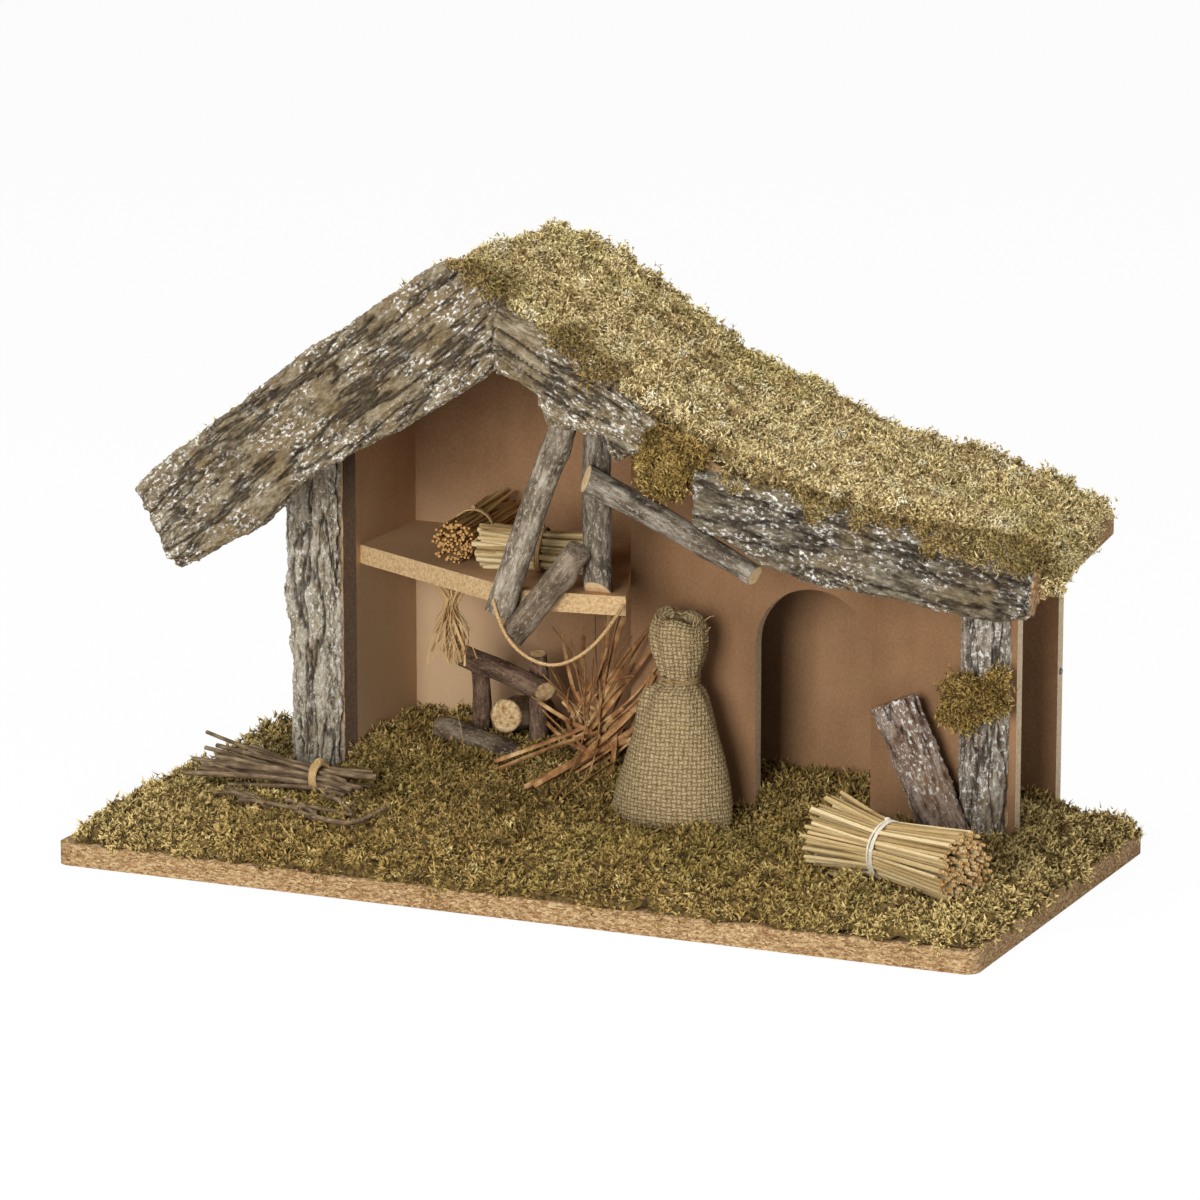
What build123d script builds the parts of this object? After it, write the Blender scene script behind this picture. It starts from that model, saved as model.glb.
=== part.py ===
from build123d import *
import os
from math import cos, pi, radians, sin, tan

# A small wooden nativity stable: a hayloft room open to the front on the left, a lean-to with an
# arched doorway on the right, a kinked roof edged with bark slabs, and moss over roof and ground.
# X runs to the right, Y to the back, Z up; the origin is the centre of the base's underside.

# Base board of chipboard
base_width = 400.0
base_depth = 200.0
base_thick = 9.0
base_corner = 6.0

# Walls of thin painted board, glued on the base along its back edge
wall_board = 6.0
left_yard = 65.0
right_yard = 37.0
room_depth = 43.0
front_wall_width = 170.0
left_wall_forward = 9.0
door_width = 51.0
door_height = 101.0
door_from_left = 81.5

# Roof boards: a left slope, and a right slope that turns flatter at the kink
chipboard = 8.0
ridge_height = 236.0
ridge_from_front_wall = 52.5
left_pitch = 35.8
upper_pitch = 28.8
lower_pitch = 13.0
kink_run = 123.5
left_eave = 58.0
right_eave_front = 33.0
right_eave_back = 21.0
front_overhang = 61.0

# Hayloft floor, cut to a blunt nose that reaches out in front of the walls
loft_height = 103.0
loft_left_forward = 5.0
loft_nose_from_corner = 45.0
loft_nose_reach = 57.0
loft_right_reach = 51.0
loft_right_out = 20.0

# Bark slabs
bark_thick = 10.0
bark_bevel = 1.6
slab_joint_from_ridge = 22.5

# Posts and log of split branch
left_post_width = 23.0
left_post_depth = 15.0
left_post_split = 9.0
stub_height = 80.0
stub_radius = 6.0
stub_out = 3.0
stub_root = 5.0
stub_taper = 25.0
right_post_width = 21.0
right_post_depth = 9.0
right_post_inset = 3.0
log_width = 21.0
log_depth = 10.0
log_length = 60.0
log_lean = 24.0
log_from_post = 22.0
post_clearance = 1.0

# Moss
apron_thick = 6.0
apron_inset = 2.0
apron_slope = 35.0
heap_height = 18.0
heap_toe = 29.0
lean_to_moss = 11.0
roof_moss = 8.5
roof_moss_edge = 3.0
moss_wave = 1.3
mound_radius = 34.0
mound_rise = 2.6
clump_radius = 16.0
clump_rise = 8.0
clump_height = 64.0
drape_thick = 8.0

# Clearance between pieces that touch along rough or round faces
seat_gap = 0.3

# Working levels and faces
base_top = base_thick
apron_top = base_top + apron_thick
heap_top = base_top + heap_height
back_y = base_depth / 2
back_face_y = back_y - wall_board
inner_front_y = back_face_y - room_depth
front_y = inner_front_y - wall_board
left_outer_x = left_yard - base_width / 2
left_inner_x = left_outer_x + wall_board
right_end_x = base_width / 2 - right_yard
front_wall_left_x = right_end_x - front_wall_width
door_x = front_wall_left_x + door_from_left
loft_top = base_top + loft_height
roof_front_y = front_y - front_overhang

# Roof lines: the boards' top faces and undersides as heights over X
ridge_x = front_wall_left_x - ridge_from_front_wall
kink_x = ridge_x + kink_run
left_rise = tan(radians(left_pitch))
upper_fall = tan(radians(upper_pitch))
lower_fall = tan(radians(lower_pitch))
kink_z = ridge_height - kink_run * upper_fall
left_drop = chipboard / cos(radians(left_pitch))
upper_drop = chipboard / cos(radians(upper_pitch))
lower_drop = chipboard / cos(radians(lower_pitch))
left_eave_x = left_outer_x - left_eave
mitre_x = ridge_x + (left_drop - upper_drop) / (left_rise + upper_fall)
valley_x = kink_x + (lower_drop - upper_drop) / (upper_fall - lower_fall)


def roof_top(x):
    left_line = ridge_height + (x - ridge_x) * left_rise
    upper_line = ridge_height - (x - ridge_x) * upper_fall
    lower_line = kink_z - (x - kink_x) * lower_fall
    return min(left_line, max(upper_line, lower_line))


def roof_under(x):
    left_line = ridge_height - left_drop + (x - ridge_x) * left_rise
    upper_line = ridge_height - upper_drop - (x - ridge_x) * upper_fall
    lower_line = kink_z - lower_drop - (x - kink_x) * lower_fall
    return min(left_line, max(upper_line, lower_line))


# Points of the roof's underside from one place to another further left, with the turns between them
def underside_points(right_x, left_x):
    turns = [x for x in (valley_x, mitre_x) if left_x < x < right_x]
    return [(x, roof_under(x)) for x in (right_x, *turns, left_x)]


def right_eave_x(y):
    along = (y - roof_front_y) / (back_y - roof_front_y)
    return right_end_x + right_eave_front + (right_eave_back - right_eave_front) * along


# Planes whose sketches read like the object's front: local X right, local Y up, normal to the viewer
def front_plane(y):
    return Plane(origin=(0, y, 0), x_dir=(1, 0, 0), z_dir=(0, -1, 0))


# Plane of a front edge whose local X runs down the slope
def slope_plane(x, z, pitch, y):
    return Plane(origin=(x, y, z), x_dir=(cos(radians(pitch)), 0, -sin(radians(pitch))), z_dir=(0, -1, 0))


# Underside of a slope that falls to the right, through a point of it
def underside_plane(x, z, pitch):
    return Plane(origin=(x, 0, z), x_dir=(0, 1, 0), z_dir=(sin(radians(pitch)), 0, cos(radians(pitch))))


os.makedirs("parts", exist_ok=True)

# Base board
with BuildPart() as base_board:
    with BuildSketch():
        RectangleRounded(base_width, base_depth, base_corner)
    extrude(amount=base_thick)
base_board.part.label = "base_board"
export_step(base_board.part, "parts/base_board.step")

# Back wall, its top cut to the underside of the roof
with BuildPart() as back_wall:
    with BuildSketch(front_plane(back_y)):
        with BuildLine():
            Polyline(
                (left_outer_x, base_top),
                (right_end_x, base_top),
                *underside_points(right_end_x, left_outer_x),
                close=True,
            )
        make_face()
    extrude(amount=wall_board)
back_wall.part.label = "back_wall"
export_step(back_wall.part, "parts/back_wall.step")

# Left side wall, running forward beside the left post
with BuildPart() as left_side_wall:
    with BuildSketch(front_plane(back_face_y)):
        with BuildLine():
            Polyline(
                (left_outer_x, base_top),
                (left_inner_x, base_top),
                *underside_points(left_inner_x, left_outer_x),
                close=True,
            )
        make_face()
    extrude(amount=back_face_y - front_y + left_wall_forward)
left_side_wall.part.label = "left_side_wall"
export_step(left_side_wall.part, "parts/left_side_wall.step")

# Front wall of the lean-to with its arched doorway
with BuildPart() as front_wall:
    with BuildSketch(front_plane(inner_front_y)):
        with BuildLine():
            Polyline(
                (front_wall_left_x, base_top),
                (right_end_x, base_top),
                *underside_points(right_end_x, front_wall_left_x),
                close=True,
            )
        make_face()
        arch_radius = door_width / 2
        spring_z = base_top + door_height - arch_radius
        with BuildLine():
            left_jamb = Line((door_x - arch_radius, base_top), (door_x - arch_radius, spring_z))
            ThreePointArc(left_jamb @ 1, (door_x, base_top + door_height), (door_x + arch_radius, spring_z))
            Line((door_x + arch_radius, spring_z), (door_x + arch_radius, base_top))
            Line((door_x + arch_radius, base_top), left_jamb @ 0)
        make_face(mode=Mode.SUBTRACT)
    extrude(amount=wall_board)
front_wall.part.label = "front_wall"
export_step(front_wall.part, "parts/front_wall.step")

# Partition between the open room and the lean-to
with BuildPart() as partition_wall:
    with BuildSketch(front_plane(back_face_y)):
        with BuildLine():
            Polyline(
                (front_wall_left_x, base_top),
                (front_wall_left_x + wall_board, base_top),
                *underside_points(front_wall_left_x + wall_board, front_wall_left_x),
                close=True,
            )
        make_face()
    extrude(amount=room_depth)
partition_wall.part.label = "partition_wall"
export_step(partition_wall.part, "parts/partition_wall.step")

# Hayloft floor
loft_corner_x = front_wall_left_x + loft_right_out
loft_corner_y = front_y - loft_right_reach
nose_x = loft_corner_x - loft_nose_from_corner
nose_y = front_y - loft_nose_reach
with BuildPart() as loft_floor:
    with BuildSketch(Plane.XY.offset(loft_top - chipboard)):
        with BuildLine():
            Polyline(
                (left_inner_x, back_face_y),
                (left_inner_x, front_y - loft_left_forward),
                (nose_x, nose_y),
                (loft_corner_x, loft_corner_y),
                (front_wall_left_x, front_y),
                (front_wall_left_x, back_face_y),
                close=True,
            )
        make_face()
    extrude(amount=chipboard)
loft_floor.part.label = "loft_floor"
export_step(loft_floor.part, "parts/loft_floor.step")

# Roof boards, mitred at the ridge and at the kink
with BuildPart() as roof_board_left:
    with BuildSketch(front_plane(back_y)):
        with BuildLine():
            Polyline(
                (left_eave_x, roof_under(left_eave_x)),
                (mitre_x, roof_under(mitre_x)),
                (ridge_x, ridge_height),
                (left_eave_x, roof_top(left_eave_x)),
                close=True,
            )
        make_face()
    extrude(amount=back_y - roof_front_y)
roof_board_left.part.label = "roof_board_left"
export_step(roof_board_left.part, "parts/roof_board_left.step")

with BuildPart() as roof_board_upper:
    with BuildSketch(front_plane(back_y)):
        with BuildLine():
            Polyline(
                (mitre_x, roof_under(mitre_x)),
                (valley_x, roof_under(valley_x)),
                (kink_x, kink_z),
                (ridge_x, ridge_height),
                close=True,
            )
        make_face()
    extrude(amount=back_y - roof_front_y)
roof_board_upper.part.label = "roof_board_upper"
export_step(roof_board_upper.part, "parts/roof_board_upper.step")

with BuildPart() as roof_board_lower:
    for y in (roof_front_y, back_y):
        with BuildSketch(front_plane(y)):
            with BuildLine():
                Polyline(
                    (valley_x, roof_under(valley_x)),
                    (right_eave_x(y), roof_under(right_eave_x(y))),
                    (right_eave_x(y), roof_top(right_eave_x(y))),
                    (kink_x, kink_z),
                    close=True,
                )
            make_face()
    loft(ruled=True)
roof_board_lower.part.label = "roof_board_lower"
export_step(roof_board_lower.part, "parts/roof_board_lower.step")

# Bark slabs along the front of the roof, drawn in each slope's own line: run down the slope, rise off it
left_slab_outline = (
    (-169, 6), (-158, 9), (-70, 12), (-25, 10), (6, 9), (14, 1), (24, -13), (20, -40), (-1, -38),
    (-28, -38), (-65, -34), (-96, -31), (-128, -36), (-171, -31), (-175, -25),
)
upper_slab_outline = (
    (12, 4), (40, 7), (53, 12), (74, 11), (82, 4), (104, 3), (108, -7), (97, -21), (88, -14), (66, -23),
    (54, -16), (30, -18), (8, -12),
)
lower_slab_outline = (
    (-14, -1), (33, 3), (76, 4), (133, 14), (135, -14), (119, -21), (104, -23), (71, -26),
    (41, -30), (23, -29), (13, -27), (-9, -22),
)
slab_joint_x = ridge_x + slab_joint_from_ridge
left_of_joint = Plane.YZ.offset(slab_joint_x)
right_of_joint = Plane.YZ.offset(slab_joint_x + seat_gap)
bark_slabs = {
    "bark_slab_left": (left_slab_outline, ridge_x, ridge_height, -left_pitch, left_of_joint, Keep.BOTTOM),
    "bark_slab_upper": (upper_slab_outline, ridge_x, ridge_height, upper_pitch, right_of_joint, Keep.TOP),
    "bark_slab_lower": (lower_slab_outline, kink_x, kink_z, lower_pitch, right_of_joint, Keep.TOP),
}
for name, (outline, x, z, pitch, joint, kept) in bark_slabs.items():
    with BuildPart() as bark_slab:
        with BuildSketch(slope_plane(x, z, pitch, roof_front_y)):
            with BuildLine():
                Polyline(*outline, close=True)
            make_face()
        extrude(amount=bark_thick)
        split(bisect_by=joint, keep=kept)
        chamfer(bark_slab.faces().sort_by(Axis.Y)[0].edges(), bark_bevel)
    bark_slab.part.label = name
    export_step(bark_slab.part, f"parts/{name}.step")

# Left bark post: a branch split along its right side, glued to the side wall, with the stub of a twig
left_post_x = left_outer_x - left_post_width
left_post_front_y = front_y - left_post_depth
with BuildPart() as left_bark_post:
    with BuildSketch(Plane.XY.offset(base_top)):
        with BuildLine():
            flat_back = Line((left_post_x, front_y), (left_outer_x, front_y))
            split_side = Line(flat_back @ 1, (left_outer_x, front_y - left_post_split))
            bark_front = (left_outer_x - left_post_width / 2, left_post_front_y)
            ThreePointArc(split_side @ 1, bark_front, flat_back @ 0)
        make_face()
    extrude(amount=ridge_height)
    split(bisect_by=underside_plane(ridge_x, ridge_height - left_drop, -left_pitch), keep=Keep.BOTTOM)
    stub_place = (left_post_x + stub_root, front_y - left_post_depth / 3, base_top + stub_height)
    with BuildSketch(Plane(origin=stub_place, z_dir=(-1, 0, 0))):
        Circle(stub_radius)
    extrude(amount=stub_root + stub_out, taper=stub_taper)
left_bark_post.part.label = "left_bark_post"
export_step(left_bark_post.part, "parts/left_bark_post.step")

# Right bark post: half a branch glued on the front wall's end
right_post_x = right_end_x - right_post_inset
with BuildPart() as right_bark_post:
    with BuildSketch(Plane.XY.offset(base_top)):
        with BuildLine():
            glued_face = Line((right_post_x - right_post_width, front_y), (right_post_x, front_y))
            bark_front = (right_post_x - right_post_width / 2, front_y - right_post_depth)
            ThreePointArc(glued_face @ 1, bark_front, glued_face @ 0)
        make_face()
    extrude(amount=ridge_height)
    split(bisect_by=underside_plane(kink_x, kink_z - lower_drop, lower_pitch), keep=Keep.BOTTOM)
right_bark_post.part.label = "right_bark_post"
export_step(right_bark_post.part, "parts/right_bark_post.step")

# Half a log leaning on the right post, its foot cut level on the moss
log_y = front_y - right_post_depth
lean_x = sin(radians(log_lean))
lean_z = cos(radians(log_lean))
log_foot = (right_post_x - log_from_post, log_y, apron_top)
log_section = Plane(origin=log_foot, x_dir=(lean_z, 0, lean_x), z_dir=(-lean_x, 0, lean_z))
with BuildPart() as leaning_log:
    with BuildSketch(log_section.offset(-log_width / 2)):
        with BuildLine():
            split_face = Line((-log_width / 2, 0), (log_width / 2, 0))
            ThreePointArc(split_face @ 0, (0, -log_depth), split_face @ 1)
        make_face()
    extrude(amount=log_length + log_width / 2)
    split(bisect_by=Plane.XY.offset(apron_top), keep=Keep.TOP)
leaning_log.part.label = "leaning_log"
export_step(leaning_log.part, "parts/leaning_log.step")

# Moss on the ground in front and beside the house, thinning to the board's edge
dome_steps = ((1, 0), (0.8, 0.5), (0.45, 0.85), (0, 1))
mound_spots = ((-130.0, -55.0), (-50.0, -48.0), (35.0, -56.0))
with BuildPart() as moss_apron:
    with BuildSketch(Plane.XY.offset(base_top)):
        RectangleRounded(base_width - 2 * apron_inset, base_depth - 2 * apron_inset, base_corner)
    extrude(amount=apron_thick, taper=apron_slope)
    for x, y in mound_spots:
        with BuildSketch(Plane.XZ.offset(-y)):
            with BuildLine():
                Polyline(
                    (x, apron_top),
                    *[(x + mound_radius * out, apron_top + mound_rise * up) for out, up in dome_steps],
                    close=True,
                )
            make_face()
        revolve(axis=Axis((x, y, 0), (0, 0, 1)))
    with BuildSketch(Plane.XY.offset(base_top)):
        with BuildLine():
            Polyline(
                (left_post_x - post_clearance, left_post_front_y - post_clearance),
                (left_outer_x + seat_gap, left_post_front_y - post_clearance),
                (left_outer_x + seat_gap, front_y - left_wall_forward),
                (left_inner_x, front_y - left_wall_forward),
                (left_inner_x, front_y),
                (right_post_x - right_post_width - seat_gap, front_y),
                (right_post_x - right_post_width - seat_gap, log_y),
                (right_post_x + seat_gap, log_y),
                (right_post_x + seat_gap, front_y),
                (right_end_x, front_y),
                (right_end_x, base_depth),
                (left_outer_x, base_depth),
                (left_outer_x, front_y),
                (left_post_x - post_clearance, front_y),
                close=True,
            )
        make_face()
    extrude(amount=2 * apron_thick, mode=Mode.SUBTRACT)
moss_apron.part.label = "moss_apron"
export_step(moss_apron.part, "parts/moss_apron.step")

# Moss heaped up inside the open room, its toe lying on the apron
with BuildPart() as moss_heap:
    with BuildSketch(Plane.YZ.offset(left_inner_x)):
        with BuildLine():
            Polyline(
                (front_y - heap_toe, apron_top),
                (front_y, apron_top),
                (front_y, base_top),
                (back_face_y, base_top),
                (back_face_y, heap_top),
                (front_y, heap_top),
                close=True,
            )
        make_face()
    extrude(amount=front_wall_left_x - left_inner_x)
moss_heap.part.label = "moss_heap"
export_step(moss_heap.part, "parts/moss_heap.step")

# Moss on the lean-to's floor and in its doorway
with BuildPart() as moss_lean_to:
    with BuildSketch(Plane.XY.offset(base_top)):
        with BuildLine():
            Polyline(
                (front_wall_left_x + wall_board, inner_front_y),
                (door_x - arch_radius, inner_front_y),
                (door_x - arch_radius, front_y),
                (door_x + arch_radius, front_y),
                (door_x + arch_radius, inner_front_y),
                (right_end_x, inner_front_y),
                (right_end_x, back_face_y),
                (front_wall_left_x + wall_board, back_face_y),
                close=True,
            )
        make_face()
    extrude(amount=lean_to_moss)
moss_lean_to.part.label = "moss_lean_to"
export_step(moss_lean_to.part, "parts/moss_lean_to.step")

# Moss blankets on the roof: flat on the boards, with a rolling top that changes from front to back
blanket_stations = 4
left_rolls = 6
right_rolls = 9
long_roll_x = 17.0
long_roll_y = 23.0
short_roll_x = 11.0
short_roll_y = 31.0


def blanket_top(x, y):
    roll = sin(x / long_roll_x + y / long_roll_y) + sin(x / short_roll_x - y / short_roll_y)
    return roof_top(x) + roof_moss + moss_wave * roll


blanket_step = (back_y - roof_front_y) / (blanket_stations - 1)
blanket_ys = [roof_front_y + blanket_step * i for i in range(blanket_stations)]
crest = (ridge_x, ridge_height)
crest_moss = (ridge_x, ridge_height + roof_moss)
with BuildPart() as roof_moss_left:
    for y in blanket_ys:
        with BuildSketch(front_plane(y)):
            with BuildLine():
                eave = (left_eave_x, roof_top(left_eave_x))
                eave_moss = (left_eave_x, roof_top(left_eave_x) + roof_moss_edge)
                spots = [left_eave_x + (ridge_x - left_eave_x) * i / left_rolls for i in range(1, left_rolls)]
                Line(crest, eave)
                Line(eave, eave_moss)
                Spline(eave_moss, *[(x, blanket_top(x, y)) for x in spots], crest_moss)
                Line(crest_moss, crest)
            make_face()
    loft()
roof_moss_left.part.label = "roof_moss_left"
export_step(roof_moss_left.part, "parts/roof_moss_left.step")

with BuildPart() as roof_moss_right:
    for y in blanket_ys:
        with BuildSketch(front_plane(y)):
            with BuildLine():
                eave_x = right_eave_x(y)
                eave = (eave_x, roof_top(eave_x))
                eave_moss = (eave_x, roof_top(eave_x) + roof_moss_edge)
                spots = [ridge_x + (eave_x - ridge_x) * i / right_rolls for i in range(1, right_rolls)]
                Line(crest, crest_moss)
                Spline(crest_moss, *[(x, blanket_top(x, y)) for x in spots], eave_moss)
                Line(eave_moss, eave)
                Line(eave, (kink_x, kink_z))
                Line((kink_x, kink_z), crest)
            make_face()
    loft()
roof_moss_right.part.label = "roof_moss_right"
export_step(roof_moss_right.part, "parts/roof_moss_right.step")

# Moss hanging down over the roof's front edge between the upper and the lower bark slab
drape_outline = ((-28, 16), (-17, 11), (-16, -8), (-21, -12), (-27, -8), (-29.5, 4))
with BuildPart() as moss_drape:
    with BuildSketch(front_plane(roof_front_y)):
        with BuildLine():
            Polyline(*[(kink_x + x, kink_z + z) for x, z in drape_outline], close=True)
        make_face()
    extrude(amount=drape_thick)
    chamfer(moss_drape.faces().sort_by(Axis.Y)[0].edges(), bark_bevel)
moss_drape.part.label = "moss_drape"
export_step(moss_drape.part, "parts/moss_drape.step")

# Clump of moss stuck on the right post
clump_x = right_post_x - right_post_width / 3
clump_z = base_top + clump_height
with BuildPart() as moss_clump:
    with BuildSketch(Plane.XY.offset(clump_z)):
        with BuildLine():
            Polyline(
                (clump_x, log_y),
                *[(clump_x + clump_radius * out, log_y - clump_rise * up) for out, up in dome_steps],
                close=True,
            )
        make_face()
    revolve(axis=Axis((clump_x, log_y, clump_z), (0, 1, 0)))
moss_clump.part.label = "moss_clump"
export_step(moss_clump.part, "parts/moss_clump.step")

# Poles of the hayloft: the long pole and the strut are glued to the loft's front edge, the brace to the stand
pole_radius = 6.0
strut_radius = 5.5
brace_radius = 5.2
pole_foot_left = 8.0
pole_foot_drop = 10.0
pole_head_right = 18.0
pole_head_in = 1.0
strut_foot_left = 1.0
strut_foot_drop = 20.0
strut_head_left = 15.0
strut_head_rise = 10.2
stand_left = 13.0
stand_in = 4.0
brace_head_left = 2.0
brace_head_drop = 32.2
brace_foot_right = 75.0
brace_foot_drop = 30.3
left_edge_run = (nose_y - (front_y - loft_left_forward)) / (nose_x - left_inner_x)
nose_edge_run = (loft_corner_y - nose_y) / (loft_corner_x - nose_x)


# Y of a pole's axis where it lies against the loft's edge at this X
def pole_at_edge_y(x, radius):
    edge_run = left_edge_run if x < nose_x else nose_edge_run
    return nose_y + edge_run * (x - nose_x) - (radius + seat_gap) * (1 + edge_run**2) ** 0.5


pole_foot_x = nose_x - pole_foot_left
pole_foot_y = pole_at_edge_y(nose_x - pole_foot_left / 2, pole_radius) - seat_gap
pole_head_x = nose_x + pole_head_right
strut_foot_x = nose_x - strut_foot_left
strut_head_x = loft_corner_x - strut_head_left
strut_foot_y = pole_at_edge_y(nose_x, strut_radius) - nose_edge_run * strut_foot_left
stand_x = loft_corner_x - stand_left
stand_y = loft_corner_y + stand_in
stand_top = roof_under(stand_x + pole_radius) - seat_gap
brace_y = stand_y - pole_radius - brace_radius - seat_gap
brace_head_x = stand_x - brace_head_left
brace_foot_x = stand_x + brace_foot_right

# Sticks of the hay rack in the open room and the short log behind it
stick_radius = 4.0
butt_radius = 6.5
rack_in = 17.0
rack_left_from_wall = 45.0
rack_post_step = 27.0
rack_left_height = 31.0
rack_right_height = 40.0
top_rail_left = 4.0
top_rail_left_height = 38.0
top_rail_right = 7.0
top_rail_right_height = 26.0
bottom_rail_left = 16.0
bottom_rail_right = 2.0
butt_forward = 3.0
rack_y = front_y + rack_in
rail_y = rack_y - 2 * stick_radius - seat_gap
rail_z = heap_top + stick_radius + seat_gap
rack_left_x = left_inner_x + rack_left_from_wall
rack_right_x = rack_left_x + rack_post_step
butt_x = (rack_left_x + rack_right_x) / 2
butt_z = heap_top + butt_radius + seat_gap

# Each branch has its thick end, its thin end and its radius at the thick end
branch_taper = 0.3
poles = {
    "long_pole": (
        (pole_foot_x, pole_foot_y, loft_top - pole_foot_drop),
        (pole_head_x, roof_front_y + pole_radius + pole_head_in, roof_under(pole_head_x) - pole_radius),
        pole_radius,
    ),
    "loft_strut": (
        (strut_foot_x, strut_foot_y, loft_top - strut_foot_drop),
        (strut_head_x, pole_at_edge_y(strut_head_x, strut_radius), loft_top + strut_head_rise),
        strut_radius,
    ),
    "loft_stand": ((stand_x, stand_y, loft_top), (stand_x, stand_y, stand_top), pole_radius),
    "roof_brace": (
        (brace_head_x, brace_y, roof_under(brace_head_x) - brace_head_drop),
        (brace_foot_x, brace_y, roof_under(brace_foot_x) - brace_foot_drop),
        brace_radius,
    ),
    "rack_post_left": (
        (rack_left_x, rack_y, heap_top), (rack_left_x, rack_y, heap_top + rack_left_height),
        stick_radius,
    ),
    "rack_post_right": (
        (rack_right_x, rack_y, heap_top), (rack_right_x, rack_y, heap_top + rack_right_height),
        stick_radius,
    ),
    "rack_rail_top": (
        (rack_left_x - top_rail_left, rail_y, heap_top + top_rail_left_height),
        (rack_right_x + top_rail_right, rail_y, heap_top + top_rail_right_height),
        stick_radius,
    ),
    "rack_rail_bottom": (
        (rack_left_x - bottom_rail_left, rail_y, rail_z), (rack_right_x + bottom_rail_right, rail_y, rail_z),
        stick_radius,
    ),
    "rack_log": (
        (butt_x, rack_y - butt_forward, butt_z), (butt_x, back_face_y - seat_gap, butt_z),
        butt_radius,
    ),
}
for name, (start, end, radius) in poles.items():
    along = Vector(end) - Vector(start)
    with BuildPart() as pole:
        with BuildSketch(Plane(origin=start, z_dir=along)):
            Circle(radius)
        extrude(amount=along.length, taper=branch_taper)
    pole.part.label = name
    export_step(pole.part, f"parts/{name}.step")

# Straw and twig bundles: strands run out from a tied waist and spread towards their ends
straw = 1.5
shelf_radius = 9.0
shelf_waist = 7.4
shelf_rings = (1, 6, 14, 22)
shelf_reach = 28.0
shelf_back_reach = 42.0
front_bundle_from_wall = 49.0
front_bundle_in = 3.0
side_bundle_from_wall = 96.0
side_bundle_out = 22.0
ground_straw = 1.9
ground_radius = 13.0
ground_waist = 9.4
ground_rings = (1, 6, 15, 24)
ground_left_reach = 36.0
ground_right_reach = 42.0
ground_from_post = 20.0
ground_out = 84.0
twig = 1.8
twig_radius = 7.5
twig_waist = 5.4
twig_rings = (1, 4, 9)
twig_left_reach = 58.0
twig_right_reach = 36.0
twig_from_wall = 9.0
twig_out = 52.0
hay_waist = 6.0
hay_rings = (1, 6, 16)
hay_spread = 14.0
hay_headroom = 8.6
hay_way = Vector(0.12, -0.35, 1).normalized()
hay_from_wall = 21.0
hay_in = 9.0
hay_lift = 4.6
tuft_waist = 5.0
tuft_rings = (1, 6, 14)
tuft_spread = 9.0
tuft_reach = 34.0
tuft_from_nose = 43.0
tuft_in = 27.0
waist_half = 1.5
tuft_half = 2.0
tie_cord = 0.8
tie_sides = 4
tie_slack = 0.1
shelf_bundle_z = loft_top + shelf_radius + seat_gap
hay_z = heap_top + hay_lift
hay_reach = (loft_top - chipboard - hay_headroom - hay_z) / hay_way.Z

# Each bundle has its waist's place, its direction, the waist's radius and half width, the strands in each
# ring, a strand's width, and the spread and reach of its ends; the tufts have one end and no cord
bundles = {
    "shelf_bundle_front": (
        (left_inner_x + front_bundle_from_wall, front_y + front_bundle_in, shelf_bundle_z),
        (-0.13, 1, 0), shelf_waist, waist_half, shelf_rings, straw,
        ((-1, shelf_radius, shelf_reach), (1, shelf_radius, shelf_back_reach)),
    ),
    "shelf_bundle_side": (
        (left_inner_x + side_bundle_from_wall, front_y - side_bundle_out, shelf_bundle_z),
        (1, 0.02, 0), shelf_waist, waist_half, shelf_rings, straw,
        ((-1, shelf_radius, shelf_reach), (1, shelf_radius, shelf_reach)),
    ),
    "ground_bundle": (
        (right_post_x - ground_from_post, front_y - ground_out, apron_top + ground_radius + seat_gap),
        (0.93, -0.37, 0), ground_waist, waist_half, ground_rings, ground_straw,
        ((-1, ground_radius, ground_left_reach), (1, ground_radius, ground_right_reach)),
    ),
    "twig_bundle": (
        (left_outer_x + twig_from_wall, front_y - twig_out, apron_top + twig_radius + seat_gap),
        (1, -0.01, 0), twig_waist, waist_half, twig_rings, twig,
        ((-1, twig_radius, twig_left_reach), (1, twig_radius, twig_right_reach)),
    ),
    "rack_hay": (
        (front_wall_left_x - hay_from_wall, front_y + hay_in, hay_z),
        hay_way, hay_waist, tuft_half, hay_rings, straw,
        ((1, hay_spread, hay_reach),),
    ),
    "hay_tuft": (
        (nose_x - tuft_from_nose, nose_y + tuft_in, loft_top - chipboard - tuft_half - 2 * seat_gap),
        (0.06, -0.08, -1), tuft_waist, tuft_half, tuft_rings, straw,
        ((1, tuft_spread, tuft_reach),),
    ),
}
strand_margin = 0.6
uneven_ends = 0.1
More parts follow.
